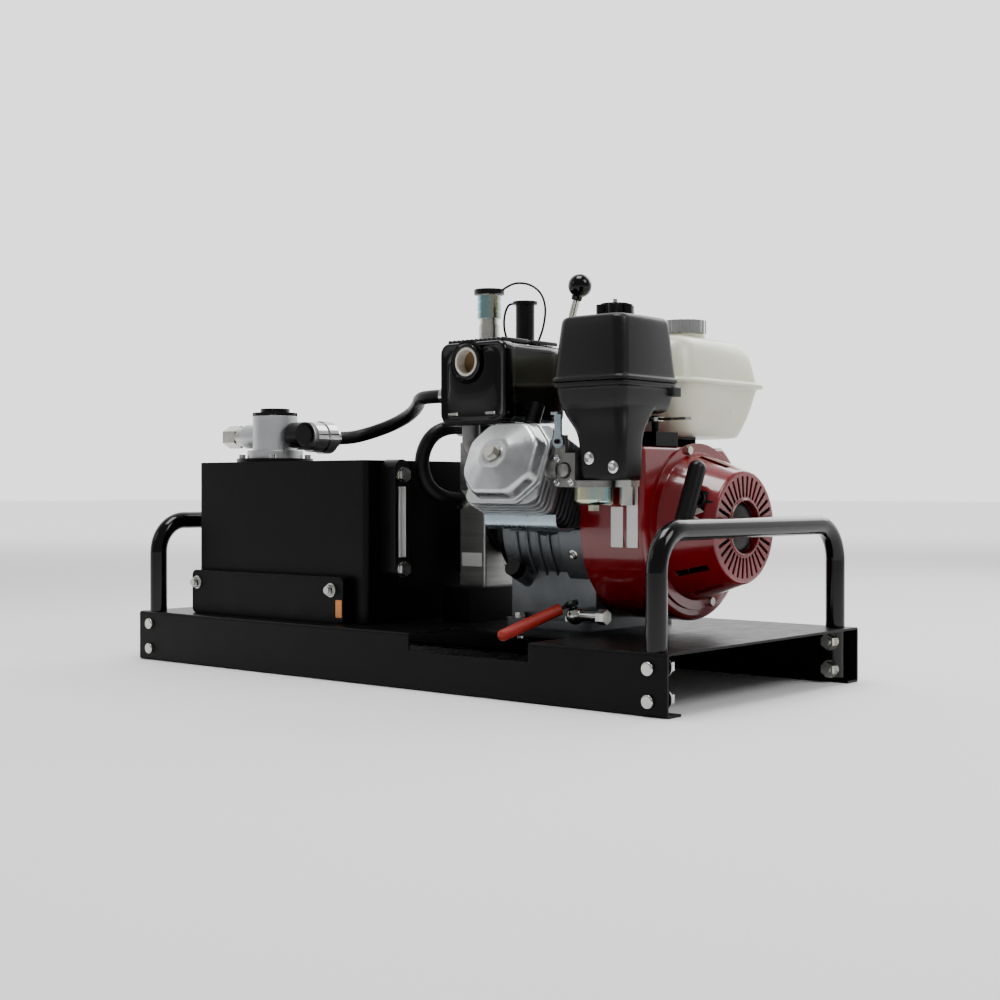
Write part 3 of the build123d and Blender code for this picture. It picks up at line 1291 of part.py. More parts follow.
def exhaust_pipe():
    """Bent pipe from the cylinder head's port up into the silencer."""
    y, z = exhaust_port()
    x = MUFFLER_X - 18
    x1 = CYLINDER_X - 46
    path = FilletPolyline((x1, y, z), (x, y, z), (x, y, MUFFLER_BOTTOM + 6), radius=22)
    ring = Circle(11.8) - Circle(9.5)
    return sweep(Plane(origin=path @ 0, z_dir=path % 0) * ring, path=path)


# ---------------------------------------------------------------- controls
def control_base():
    x0, x1 = AIR_X + 2, SHROUD_END - 2
    y0, y1 = CRANK_Y - 98, CRANK_Y - 40
    plate = block(x0, x1, y0 + 10, y1, SHROUD_TOP, SHROUD_TOP + 18)
    return plate + z_rod(SHROUD_TOP + 18, SHROUD_TOP + 38, x1 - 14, y1 - 30, 5)


def throttle_place():
    return (SHROUD_END - 16, CRANK_Y - 70)


def throttle_lever():
    x, y = throttle_place()
    low = SHROUD_TOP + 31
    hub = z_rod(low, low + 5, x, y, 10)
    hub += block(x, x + 48, y - 6, y + 6, low + 1, low + 4)
    hub += z_rod(low + 1, low + 4, x + 48, y, 6)
    return hub - z_rod(low - 1, low + 6, x, y, 5 + RUN_FIT)


def choke_place():
    x, y = bowl_place()
    return (x - 36, AIR_BOTTOM - 42)


def choke_pin():
    x, z = choke_place()
    y = bowl_place()[1] - 22
    return y_rod(y - 8, y, x, z, 3)


def choke_lever():
    x, z = choke_place()
    y = bowl_place()[1] - 22
    lever = y_rod(y - 5, y - 2, x, z, 8)
    lever += block(x - 5, x + 5, y - 5, y - 2, z, z + 36)
    lever += block(x - 5, x + 5, y - 12, y - 2, z + 33, z + 36)
    return lever - y_rod(y - 6, y - 1, x, z, 3 + RUN_FIT)


def dipstick_point(reach):
    """Point on the oil filler's axis, measured out from its seat."""
    out = math.radians(25)
    y = CRANK_Y - 80 - reach * math.cos(out)
    return (CASE_START + 26, y, DECK_TOP + 66 + reach * math.sin(out))


def oil_dipstick():
    cap = rod(dipstick_point(20), dipstick_point(34), 12)
    return cap + rod(dipstick_point(-28), dipstick_point(20), 8 - RUN_FIT)


def drain_x():
    return CASE_START + 131.0


def drain_z():
    return DECK_TOP + 22.0


def drain_point(out, up, turn=0.0):
    """Point beside the drain tap: out along its lever, up along its tilted stem."""
    drop = math.radians(20.4)
    aim = math.radians(24)
    level = (-math.sin(aim), -math.cos(aim))
    x = drain_x() + level[0] * (out * math.cos(drop) + up * math.sin(drop))
    y = CRANK_Y - 112 + level[1] * (out * math.cos(drop) + up * math.sin(drop))
    return (x, y, drain_z() + up * math.cos(drop) - out * math.sin(drop))


def drain_valve():
    """Oil drain tap: inlet from the sump, round body, stem and capped outlet."""
    x, y, z = drain_point(0, 0)
    body = y_rod(y, CRANK_Y - 70, x, z, 8.8)
    body += Pos(x, y, z) * Sphere(12)
    body += x_rod(x, x + 44, y, z, 6.5)
    body += hexagon((x + 38, y, z), (x + 50, y, z), 17)
    return body + rod(drain_point(0, 0), drain_point(0, 19), 4)


def drain_lever():
    lever = rod(drain_point(0, 13), drain_point(0, 18), 9)
    lever += rod(drain_point(6, 15.5), drain_point(24, 15.5), 2.4)
    return lever - rod(drain_point(0, 12), drain_point(0, 19), 4 + RUN_FIT)


def drain_sleeve():
    sleeve = rod(drain_point(18, 15.5), drain_point(102, 15.5), 7.5)
    sleeve += Pos(*drain_point(102, 15.5)) * Sphere(7.5)
    return sleeve - rod(drain_point(17, 15.5), drain_point(24, 15.5), 2.4)


PARTS = {
    "skid_deck": skid_deck,
    "engine_end_handle": lambda: handle(1),
    "tank_end_handle": lambda: handle(-1),
    "handle_bolts": handle_bolts,
    "tank_shell": tank_shell,
    "tank_clamps": lambda: [tank_clamp(-1), tank_clamp(1)],
    "tank_fasteners": lambda: clamp_nuts() + gauge_bolts() + flange_screws(),
    "level_gauge": lambda: [gauge_housing(), gauge_tube()],
    "filter_flange": filter_flange,
    "filter_head": filter_head,
    "filter_cap": filter_cap,
    "filter_element": filter_element,
    "filter_plug_and_gauge": lambda: [filter_plug(), filter_gauge()],
    "return_hose": return_hose,
    "pressure_hose": pressure_hose,
    "hose_fittings": lambda: hose_fittings() + [return_coupling()],
    "pedestal": pedestal,
    "pump_housing": lambda: [pump_block(), pump_cover()],
    "pump_drive_gear": lambda: pump_gear(gear_places()[0], 0, BLOCK_END + 28),
    "pump_idler_gear": lambda: pump_gear(gear_places()[1], math.pi / GEAR_TEETH, BLOCK_END - 8),
    "pump_adapter": pump_adapter,
    "shaft_coupling": lambda: [pump_hub(), engine_hub(), coupling_spider()],
    "pump_fasteners": lambda: cover_screws() + adapter_bolts(),
    "valve_body": lambda: valve_body() + valve_riser(),
    "valve_spool": valve_spool,
    "lever_bracket": lambda: [lever_bracket(), lever_pin()],
    "valve_lever": lambda: [valve_lever(), lever_knob()],
    "quick_couplers": lambda: [coupler_socket(), coupler_nipple()],
    "coupler_collar": coupler_collar,
    "coupler_cap": coupler_cap,
    "nipple_cap": nipple_cap,
    "cap_tethers": lambda: [cap_tether(), nipple_tether(), tether_ring()],
    "crankcase": crankcase,
    "crankcase_cover": crankcase_cover,
    "engine_fasteners": lambda: engine_bolts() + cover_bolts() + starter_bolts() + top_bolts(),
    "main_bearings": main_bearings,
    "crankshaft": crankshaft,
    "piston": piston,
    "cylinder_head": cylinder_head,
    "valve_cover": valve_cover,
    "spark_plug": lambda: [spark_plug(), plug_boot()],
    "flywheel": lambda: [flywheel(), flywheel_nut()],
    "fan_shroud": fan_shroud,
    "starter_housing": lambda: [starter_housing(), rope_eyelet(), rope_lead()],
    "starter_pulley": lambda: [starter_pulley(), rope_coil()],
    "starter_grip": starter_grip,
    "fuel_tank": fuel_tank,
    "fuel_cap": fuel_cap,
    "engine_brackets": lambda: [tank_bracket(), control_base(), choke_pin()],
    "air_cover": air_cover,
    "air_base": lambda: [air_base(), air_element()],
    "air_knob": air_knob,
    "carburetor": lambda: [carburetor(), carb_bowl(), fuel_cock()],
    "muffler": muffler,
    "exhaust_pipe": lambda: [exhaust_pipe(), outlet_ring()],
    "throttle_lever": throttle_lever,
    "choke_lever": choke_lever,
    "oil_dipstick": oil_dipstick,
    "drain_valve": drain_valve,
    "drain_lever": lambda: [drain_lever(), drain_sleeve()],
}


def solids_of(shape):
    """Every solid of one shape or of a list of shapes."""
    items = shape if isinstance(shape, list) else [shape]
    return [solid for item in items for solid in item.solids()]


os.makedirs("parts", exist_ok=True)
for name, build in PARTS.items():
    solids = solids_of(build())
    export_step(solids[0] if len(solids) == 1 else Compound(solids), f"parts/{name}.step")
    print(name, len(solids))
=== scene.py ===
"""Looks of a petrol-engine hydraulic power unit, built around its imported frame."""

from __future__ import annotations

import json
import logging
import math
from dataclasses import dataclass, field
from enum import Enum

import bmesh
import bpy
import numpy as np
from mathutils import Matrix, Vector

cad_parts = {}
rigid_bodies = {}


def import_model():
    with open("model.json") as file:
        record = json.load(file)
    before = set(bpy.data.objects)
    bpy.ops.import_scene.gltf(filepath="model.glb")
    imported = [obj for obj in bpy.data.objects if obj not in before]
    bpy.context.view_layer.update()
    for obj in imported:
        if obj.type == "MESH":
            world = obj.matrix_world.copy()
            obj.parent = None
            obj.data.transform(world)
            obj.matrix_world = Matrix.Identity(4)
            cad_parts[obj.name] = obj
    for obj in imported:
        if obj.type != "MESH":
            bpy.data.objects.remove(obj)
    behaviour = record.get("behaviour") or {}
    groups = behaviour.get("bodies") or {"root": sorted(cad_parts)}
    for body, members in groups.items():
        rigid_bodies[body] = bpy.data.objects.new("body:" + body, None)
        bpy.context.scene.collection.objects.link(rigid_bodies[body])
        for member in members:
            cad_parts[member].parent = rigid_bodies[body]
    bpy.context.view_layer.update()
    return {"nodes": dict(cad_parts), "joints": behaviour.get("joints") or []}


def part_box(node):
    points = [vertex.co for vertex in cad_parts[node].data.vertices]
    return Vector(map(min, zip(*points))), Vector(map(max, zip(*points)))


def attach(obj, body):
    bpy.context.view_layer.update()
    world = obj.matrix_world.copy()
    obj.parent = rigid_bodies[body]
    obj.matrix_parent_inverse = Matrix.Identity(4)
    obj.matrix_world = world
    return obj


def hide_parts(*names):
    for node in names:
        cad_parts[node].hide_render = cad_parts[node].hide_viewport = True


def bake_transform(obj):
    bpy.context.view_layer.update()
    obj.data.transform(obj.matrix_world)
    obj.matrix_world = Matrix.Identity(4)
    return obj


LOG = logging.getLogger("power_unit")
MM = 0.001
Point = tuple[float, float, float]


# ------------------------------------------------------------------ the frame's places
@dataclass(frozen=True)
class Box:
    """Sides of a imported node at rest, in millimetres."""

    left: float
    right: float
    front: float
    back: float
    low: float
    high: float

    @classmethod
    def of(cls, node: str) -> Box:
        """Read a node's sides from the frame.

        Args:
            node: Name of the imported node.

        Returns:
            Its box, to a hundredth of a millimetre.
        """
        low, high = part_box(node)
        sides = (low.x, high.x, low.y, high.y, low.z, high.z)
        return cls(*(round(side / MM, 2) for side in sides))

    @property
    def middle(self) -> Point:
        """Centre of the box."""
        return (
            (self.left + self.right) / 2, (self.front + self.back) / 2, (self.low + self.high) / 2
        )


# ------------------------------------------------------------------ finishes
class Grain(Enum):
    """How a surface breaks up at close range."""

    SMOOTH = "smooth"
    POWDER = "powder coat"
    CAST = "sand cast"
    BRUSHED = "milled in one direction"
    MOULDED = "moulded plastic"
    WRAPPED = "hose wrap"


GRAIN_SCALE = {
    Grain.SMOOTH: 90.0,
    Grain.POWDER: 900.0,
    Grain.CAST: 620.0,
    Grain.BRUSHED: 240.0,
    Grain.MOULDED: 1400.0,
    Grain.WRAPPED: 420.0,
}
GRAIN_DEPTH = {
    Grain.SMOOTH: 0.015,
    Grain.POWDER: 0.10,
    Grain.CAST: 0.34,
    Grain.BRUSHED: 0.08,
    Grain.MOULDED: 0.16,
    Grain.WRAPPED: 0.22,
}


COAT_ROUGHNESS = 0.06
WALL_DEPTH = (0.02, 0.016, 0.01)
MILL_STRETCH = 14.0
BAND_STRETCH = 0.05
PATCH_SPAN = (0.36, 0.68)
MARKS_PER_PATCH = 3.1
GRAIN_HEIGHT = 0.0006
EDGE_SAMPLES = 4
# Direction and span along which painted shade and a painted red reflection come into the tank's colour.
SHADE_TINT_AIM = (-0.62, -0.10, -0.78)
SHADE_TINT_SPAN = (-0.475, -0.385)


@dataclass(frozen=True)
class Finish:
    """One surface finish, made into a node material that reads Object coordinates.

    Colour and tint are the two tones of its patches, and spread is how far the roughness
    varies. Blotch counts patches per metre, edge is the softened edge's radius in metres,
    shine is the specular level, and the last colour, if given, is painted shade and a painted reflection laid
    on towards a low end.
    """

    name: str
    colour: Point
    tint: Point
    roughness: float = 0.4
    spread: float = 0.1
    metallic: float = 0.0
    coat: float = 0.0
    grain: Grain = Grain.SMOOTH
    blotch: float = 14.0
    edge: float = 0.0
    scatter: float = 0.0
    shine: float = 0.5
    bands: bool = False
    # Colour of painted shade and a painted reflection, laid on towards one low end.
    shade_and_reflection_tint: Point | None = None

    def material(self) -> bpy.types.Material:
        """Build the material once and hand back the same one after that.

        Returns:
            The node material of this finish.
        """
        name = f"{self.name}_finish"
        known = bpy.data.materials.get(name)
        if known:
            return known
        made = bpy.data.materials.new(name)
        made.use_nodes = True
        tree = made.node_tree
        shader = tree.nodes["Principled BSDF"]
        shader.inputs["Metallic"].default_value = self.metallic
        shader.inputs["Specular IOR Level"].default_value = self.shine
        shader.inputs["Coat Weight"].default_value = self.coat
        shader.inputs["Coat Roughness"].default_value = COAT_ROUGHNESS
        shader.inputs["Subsurface Weight"].default_value = self.scatter
        if self.scatter:
            shader.inputs["Subsurface Radius"].default_value = WALL_DEPTH
        place = tree.nodes.new("ShaderNodeTexCoord").outputs["Object"]
        if self.grain is Grain.BRUSHED:
            place = self._stretched(tree, place, MILL_STRETCH)
        if self.bands:
            place = self._stretched(tree, place, BAND_STRETCH)
        self._paint(tree, shader, place)
        self._roughen(tree, shader, place)
        self._relief(tree, shader, place)
        return made

    def _stretched(
        self, tree: bpy.types.NodeTree, place: bpy.types.NodeSocket, factor: float
    ) -> bpy.types.NodeSocket:
        """Scale the pattern along Z: above 1 its cells lie flat, below 1 they stand as stripes.

        Args:
            tree: The material's node tree.
            place: Coordinates before stretching.
            factor: Scale along Z.

        Returns:
            The stretched coordinates.
        """
        mapping = tree.nodes.new("ShaderNodeMapping")
        mapping.inputs["Scale"].default_value = (1.0, 1.0, factor)
        tree.links.new(place, mapping.inputs["Vector"])
        return mapping.outputs["Vector"]

    def _noise(
        self, tree: bpy.types.NodeTree, place: bpy.types.NodeSocket, scale: float, detail: float
    ) -> bpy.types.NodeSocket:
        """Add one noise pattern.

        Args:
            tree: The material's node tree.
            place: Coordinates that it reads.
            scale: Cells per metre.
            detail: Octaves of finer noise.

        Returns:
            The pattern's value, from 0 to 1.
        """
        noise = tree.nodes.new("ShaderNodeTexNoise")
        noise.inputs["Scale"].default_value = scale
        noise.inputs["Detail"].default_value = detail
        tree.links.new(place, noise.inputs["Vector"])
        return noise.outputs["Fac"]

    def _paint(
        self, tree: bpy.types.NodeTree, shader: bpy.types.Node, place: bpy.types.NodeSocket
    ) -> None:
        """Vary the colour between two tones in soft patches.

        Args:
            tree: The material's node tree.
            shader: Its Principled shader.
            place: Coordinates that the pattern reads.
        """
        ramp = tree.nodes.new("ShaderNodeValToRGB")
        for stop, place_on_ramp, tone in zip(
            ramp.color_ramp.elements, PATCH_SPAN, (self.colour, self.tint)
        ):
            stop.position = place_on_ramp
            stop.color = (*tone, 1.0)
        tree.links.new(self._noise(tree, place, self.blotch, 3.0), ramp.inputs["Fac"])
        colour = ramp.outputs["Color"]
        # Painted shade and a painted red reflection, darker towards the tank's lower left.
        if self.shade_and_reflection_tint:
            colour = self._shade_tinted(tree, place, colour)
        tree.links.new(colour, shader.inputs["Base Color"])

    def _shade_tinted(
        self, tree: bpy.types.NodeTree, place: bpy.types.NodeSocket, colour: bpy.types.NodeSocket
    ) -> bpy.types.NodeSocket:
        """Paint shade and a reddish reflection into the wall's colour, darker towards the tank's low end.

        Args:
            tree: The material's node tree.
            place: Coordinates that the gradient reads.
            colour: Colour of the bare wall.

        Returns:
            The mixed colour.
        """
        along = tree.nodes.new("ShaderNodeVectorMath")
        along.operation = "DOT_PRODUCT"
        along.inputs[1].default_value = SHADE_TINT_AIM
        span = tree.nodes.new("ShaderNodeMapRange")
        span.interpolation_type = "SMOOTHSTEP"
        span.inputs["From Min"].default_value = SHADE_TINT_SPAN[0]
        span.inputs["From Max"].default_value = SHADE_TINT_SPAN[1]
        mix = tree.nodes.new("ShaderNodeMix")
        mix.data_type = "RGBA"
        mix.inputs["B"].default_value = (*self.shade_and_reflection_tint, 1.0)
        tree.links.new(place, along.inputs[0])
        tree.links.new(along.outputs["Value"], span.inputs["Value"])
        tree.links.new(span.outputs["Result"], mix.inputs["Factor"])
        tree.links.new(colour, mix.inputs["A"])
        return mix.outputs["Result"]

    def _roughen(
        self, tree: bpy.types.NodeTree, shader: bpy.types.Node, place: bpy.types.NodeSocket
    ) -> None:
        """Vary the roughness, so a flat face carries handling marks.

        Args:
            tree: The material's node tree.
            shader: Its Principled shader.
            place: Coordinates that the pattern reads.
        """
        span = tree.nodes.new("ShaderNodeMapRange")
        span.inputs["To Min"].default_value = max(self.roughness - self.spread, 0.02)
        span.inputs["To Max"].default_value = self.roughness + self.spread
        tree.links.new(self._noise(tree, place, self.blotch * MARKS_PER_PATCH, 5.0), span.inputs["Value"])
        tree.links.new(span.outputs["Result"], shader.inputs["Roughness"])

    def _relief(
        self, tree: bpy.types.NodeTree, shader: bpy.types.Node, place: bpy.types.NodeSocket
    ) -> None:
        """Raise the grain with a bump over slightly softened edges.

        Args:
            tree: The material's node tree.
            shader: Its Principled shader.
            place: Coordinates that the pattern reads.
        """
        bump = tree.nodes.new("ShaderNodeBump")
        bump.inputs["Strength"].default_value = GRAIN_DEPTH[self.grain]
        bump.inputs["Distance"].default_value = GRAIN_HEIGHT
        tree.links.new(self._noise(tree, place, GRAIN_SCALE[self.grain], 2.0), bump.inputs["Height"])
        if self.edge:
            soft = tree.nodes.new("ShaderNodeBevel")
            soft.samples = EDGE_SAMPLES
            soft.inputs["Radius"].default_value = self.edge
            tree.links.new(soft.outputs["Normal"], bump.inputs["Normal"])
        tree.links.new(bump.outputs["Normal"], shader.inputs["Normal"])


def black(name: str, tone: float, **more: object) -> Finish:
    """A near-black finish whose patches are a third lighter."""
    return Finish(name, (tone, tone, tone * 1.05), (tone * 1.35, tone * 1.35, tone * 1.42), **more)


POWDER = black("powder_black", 0.0014, roughness=0.36, grain=Grain.POWDER, edge=0.0012, shine=0.12)
GLOSS = black("gloss_black", 0.0012, roughness=0.14, spread=0.04, coat=0.28, edge=0.001, shine=0.16)
PLASTIC = black("moulded_black", 0.003, roughness=0.34, grain=Grain.MOULDED, edge=0.0008, shine=0.22)
CHARCOAL = black(
    "charcoal_plastic", 0.0042, roughness=0.34, spread=0.05, grain=Grain.MOULDED, edge=0.002, shine=0.26
)
RUBBER = black("hose_rubber", 0.003, roughness=0.42, grain=Grain.WRAPPED, shine=0.2)
ZINC = Finish(
    "bright_zinc", (0.50, 0.52, 0.50), (0.64, 0.62, 0.56), 0.24, 0.05, 1.0, blotch=40.0,
)
IRIDESCENT = Finish(
    "passivated_zinc", (0.26, 0.46, 0.50), (0.62, 0.55, 0.34), 0.18, 0.04, 1.0, blotch=55.0, bands=True,
)
CAST = Finish(
    "cast_aluminium", (0.46, 0.47, 0.48), (0.60, 0.61, 0.62), 0.42, 0.1, 0.9,
    grain=Grain.CAST, edge=0.001,
)
POLISHED = Finish(
    "die_cast_cover", (0.47, 0.48, 0.49), (0.57, 0.58, 0.59), 0.3, 0.07, 1.0,
    grain=Grain.CAST, blotch=40.0, edge=0.001,
)
MILLED = Finish(
    "milled_aluminium", (0.36, 0.36, 0.35), (0.44, 0.44, 0.43), 0.36, 0.06, 0.8,
    grain=Grain.BRUSHED, edge=0.001,
)
DARK_CAST = Finish(
    "painted_casting", (0.10, 0.108, 0.116), (0.16, 0.168, 0.176), 0.38, 0.1, 0.75,
    grain=Grain.CAST, edge=0.0014,
)
GREY_CAST = Finish(
    "carburettor_casting", (0.17, 0.17, 0.165), (0.28, 0.275, 0.26), 0.4, 0.1, 0.85,
    grain=Grain.CAST, blotch=60.0, edge=0.0008,
)
RED = Finish(
    "red_enamel", (0.15, 0.0010, 0.0045), (0.19, 0.0016, 0.006), 0.2, 0.05, 0.0, 0.6,
    blotch=9.0, edge=0.0014, shine=0.4,
)
VINYL = Finish(
    "red_vinyl", (0.36, 0.014, 0.007), (0.44, 0.022, 0.010), 0.4, 0.08,
    grain=Grain.MOULDED, blotch=30.0, edge=0.001,
)
# Cream moulding with painted shade and a painted red reflection towards its lower left.
CREAM = Finish(
    "cream_moulding", (0.60, 0.60, 0.46), (0.70, 0.70, 0.57), 0.3, 0.06, 0.0, 0.2,
    blotch=8.0, edge=0.002, scatter=0.35, shade_and_reflection_tint=(0.26, 0.12, 0.10),
)
STEEL = Finish(
    "turned_steel", (0.36, 0.36, 0.37), (0.48, 0.48, 0.48), 0.32, 0.1, 1.0,
    grain=Grain.BRUSHED, edge=0.0006,
)
CHROME = Finish("chrome", (0.62, 0.62, 0.63), (0.72, 0.72, 0.72), 0.12, 0.04, 1.0, blotch=30.0)
IRON = Finish("flywheel_iron", (0.16, 0.16, 0.165), (0.24, 0.23, 0.22), 0.5, 0.12, 0.8, grain=Grain.CAST)
PAPER = Finish("filter_paper", (0.62, 0.54, 0.36), (0.74, 0.66, 0.48), 0.8, 0.08, grain=Grain.CAST)
LABEL = Finish("blank_label", (0.72, 0.72, 0.70), (0.8, 0.8, 0.78), 0.42, 0.08, 0.0, 0.2)
ORANGE = Finish("orange_tag", (0.70, 0.20, 0.03), (0.80, 0.26, 0.05), 0.4, 0.08, 0.0, 0.2)
OIL_GLASS = Finish("gauge_column", (0.70, 0.72, 0.70), (0.82, 0.84, 0.80), 0.12, 0.04, 0.0, 0.6)
PALE_RING = Finish("burnt_ring", (0.52, 0.48, 0.40), (0.70, 0.66, 0.58), 0.6, 0.1, 0.3, grain=Grain.CAST)
ROPE = Finish("starter_rope", (0.42, 0.40, 0.36), (0.58, 0.56, 0.50), 0.8, 0.1, grain=Grain.WRAPPED)
BLUE_ZINC = Finish(
    "blue_zinc", (0.36, 0.45, 0.50), (0.50, 0.56, 0.58), 0.28, 0.08, 0.95, blotch=18.0, edge=0.0008
)
SOOT = Finish("sooty_bore", (0.10, 0.055, 0.022), (0.20, 0.12, 0.05), 0.8, 0.1, 0.2, grain=Grain.CAST)

NODE_FINISHES: dict[str, Finish] = {
    "skid_deck": POWDER, "engine_end_handle": GLOSS, "tank_end_handle": GLOSS,
    "handle_bolts": ZINC, "tank_shell": POWDER, "tank_clamps": POWDER, "tank_fasteners": ZINC,
    "level_gauge": PLASTIC, "filter_flange": PLASTIC, "filter_head": CAST, "filter_cap": PLASTIC,
    "filter_element": PAPER, "filter_plug_and_gauge": ZINC, "hose_fittings": CHROME,
    "pedestal": POWDER, "pump_housing": MILLED, "pump_drive_gear": STEEL,
    "pump_idler_gear": STEEL, "pump_adapter": POWDER, "shaft_coupling": IRON,
    "pump_fasteners": ZINC, "valve_body": POWDER, "valve_spool": STEEL, "lever_bracket": POWDER,
    "valve_lever": ZINC, "quick_couplers": ZINC, "coupler_collar": IRIDESCENT,
    "coupler_cap": PLASTIC, "nipple_cap": PLASTIC, "crankcase": DARK_CAST,
    "crankcase_cover": DARK_CAST, "engine_fasteners": ZINC, "main_bearings": STEEL,
    "crankshaft": STEEL, "piston": MILLED, "cylinder_head": CAST, "valve_cover": POLISHED,
    "spark_plug": PLASTIC, "flywheel": IRON, "fan_shroud": RED, "starter_housing": RED,
    "starter_pulley": PLASTIC, "starter_grip": PLASTIC, "fuel_tank": CREAM, "fuel_cap": CHROME,
    "engine_brackets": POWDER, "air_cover": CHARCOAL, "air_base": CHARCOAL, "air_knob": PLASTIC,
    "carburetor": GREY_CAST, "muffler": GLOSS, "exhaust_pipe": IRON, "throttle_lever": ZINC,
    "choke_lever": BLUE_ZINC, "oil_dipstick": PLASTIC, "drain_valve": ZINC, "drain_lever": VINYL,
}


# Pieces that share a node with others and take their own finish: the node, the piece's name,
# the lowest and highest corner of a box round it in millimetres, and the finish.
PICKS: tuple[tuple[str, str, Point, Point, Finish], ...] = (
    ("filter_plug_and_gauge", "clogging gauge", (-290, -120, 310), (-240, -75, 355), PLASTIC),
    ("hose_fittings", "pump and valve fittings", (-14, -40, 220), (18, 16, 356), ZINC),
    ("level_gauge", "sight column", (-34, -139, 161), (-20, -125, 258), OIL_GLASS),
    ("valve_lever", "ball knob", (145, 5, 505), (185, 45, 548), GLOSS),
    ("exhaust_pipe", "outlet lip", (86, -144, 396), (130, -127, 440), PALE_RING),
    ("carburetor", "float bowl", (272, -146, 226), (323.5, -94, 256), IRIDESCENT),
    ("carburetor", "fuel cock", (324.5, -120, 233), (350, -93, 265), ZINC),
    ("drain_lever", "lever pivot", (226, -112, 97), (249, -79, 115), PLASTIC),
    ("starter_housing", "rope eye", (387, -54, 226), (411, -27, 252), PLASTIC),
    ("starter_housing", "rope lead", (396, -52, 217), (402, 0, 245), ROPE),
    ("starter_pulley", "wound rope", (393.5, -3, 175), (402.5, 59, 237), ROPE),
    ("pump_housing", "pump end cover", (-31, -13, 135), (-18.5, 63, 241), PLASTIC),
)


def dress(piece: bpy.types.Object, finish: Finish) -> bpy.types.Object:
    """Put one finish on every face of a piece.

    Args:
        piece: Mesh or curve object.
        finish: Finish that it takes.

    Returns:
        The same piece.
    """
    piece.data.materials.clear()
    piece.data.materials.append(finish.material())
    return piece


def dress_inside(node: bpy.types.Object, low: Point, high: Point, finish: Finish) -> None:
    """Give a second finish to the faces of a node whose middles lie in a box.

    Args:
        node: A CAD node's object.
        low: Lowest corner of the box, in metres.
        high: Highest corner of the box, in metres.
        finish: Finish for the faces in the box.
    """
    mesh = node.data
    mesh.materials.append(finish.material())
    count = len(mesh.polygons)
    middles = np.empty(count * 3, np.float32)
    mesh.polygons.foreach_get("center", middles)
    middles = middles.reshape(-1, 3)
    held = ((middles > np.array(low)) & (middles < np.array(high))).all(axis=1)
    slots = np.empty(count, np.int32)
    mesh.polygons.foreach_get("material_index", slots)
    slots[held] = len(mesh.materials) - 1
    mesh.polygons.foreach_set("material_index", slots)


# ------------------------------------------------------------------ surfaces
def surface(name: str, grids: list[np.ndarray], finish: Finish, crease: float = 40.0) -> bpy.types.Object:
    """Join grids of points into one closed mesh piece.

    Each grid has rows along one parameter and columns along the other. Neighbouring
    points make quads, points that meet are welded, and the faces are turned outwards.

    Args:
        name: Name of the piece.
        grids: Arrays of shape (rows, columns, 3), in metres.
        finish: Finish of the whole piece.
        crease: Edges sharper than this many degrees stay crisp.

    Returns:
        The new piece, at the origin.
    """
    points, faces, start = [], [], 0
    for grid in grids:
        rows, columns = grid.shape[:2]
        index = np.arange(rows * columns).reshape(rows, columns) + start
        quads = [index[:-1, :-1], index[1:, :-1], index[1:, 1:], index[:-1, 1:]]
        faces.append(np.stack(quads, axis=-1).reshape(-1, 4))
        points.append(grid.reshape(-1, 3))
        start += rows * columns
    mesh = bpy.data.meshes.new(name)
    mesh.from_pydata(np.concatenate(points).tolist(), [], np.concatenate(faces).tolist())
    work = bmesh.new()
    work.from_mesh(mesh)
    bmesh.ops.remove_doubles(work, verts=work.verts, dist=1e-6)
    bmesh.ops.dissolve_degenerate(work, edges=work.edges, dist=1e-7)
    bmesh.ops.recalc_face_normals(work, faces=work.faces)
    work.to_mesh(mesh)
    work.free()
    mesh.shade_smooth()
    mesh.set_sharp_from_angle(angle=math.radians(crease))
    piece = bpy.data.objects.new(name, mesh)
    bpy.context.scene.collection.objects.link(piece)
    return dress(piece, finish)


def axis_frame(direction: Point) -> tuple[np.ndarray, np.ndarray, np.ndarray]:
    """Three unit vectors square to each other, the last one along a direction.

    Args:
        direction: Any vector that isn't zero.

    Returns:
        Side, up and along: side is the cross product of a helper and along.
    """
    along = np.array(direction, float)
    along /= np.linalg.norm(along)
    helper = np.array([0.0, 0.0, 1.0]) if abs(along[2]) < 0.9 else np.array([1.0, 0.0, 0.0])
    side = np.cross(helper, along)
    side /= np.linalg.norm(side)
    return side, np.cross(along, side), along


def turned(
    profile: list[tuple[float, float]], centre: Point, direction: Point, sides: int = 48
) -> np.ndarray:
    """Surface of revolution: radius and height of the profile, swept a full turn.

    A point is centre + height * direction + radius * (cos t * side + sin t * up).

    Args:
        profile: Pairs of radius and height, in metres.
        centre: Where height is 0.
        direction: The axis.
        sides: Steps round the turn.

    Returns:
        Grid of points of shape (profile points, sides + 1, 3).
    """
    side, up, along = axis_frame(direction)
    radius, height = np.array(profile, float).T
    turn = np.linspace(0.0, 2.0 * np.pi, sides + 1)
    ring = np.cos(turn)[:, None] * side + np.sin(turn)[:, None] * up
    return np.array(centre) + height[:, None, None] * along + radius[:, None, None] * ring[None]


def millimetres(profile: list[tuple[float, float]]) -> list[tuple[float, float]]:
    """Profile of radius and height in millimetres, turned into metres."""
    return [(radius * MM, height * MM) for radius, height in profile]


def screw_head(place: Point, direction: Point, radius: float) -> list[np.ndarray]:
    """Cheese-head screw on a washer.

    Args:
        place: Where the washer sits, in millimetres.
        direction: Way that the head points.
        radius: Radius of the head, in millimetres.

    Returns:
        Grids of the washer and the head.
    """
    washer = [(0, 0), (radius * 1.5, 0), (radius * 1.5, 0.9), (radius * 1.4, 1.1), (0, 1.1)]
    head = [(0, 1.1), (radius, 1.1), (radius, 3.4), (radius * 0.8, 4.2), (radius * 0.3, 4.0), (0, 3.6)]
    spot = tuple(c * MM for c in place)
    return [turned(millimetres(profile), spot, direction, 24) for profile in (washer, head)]


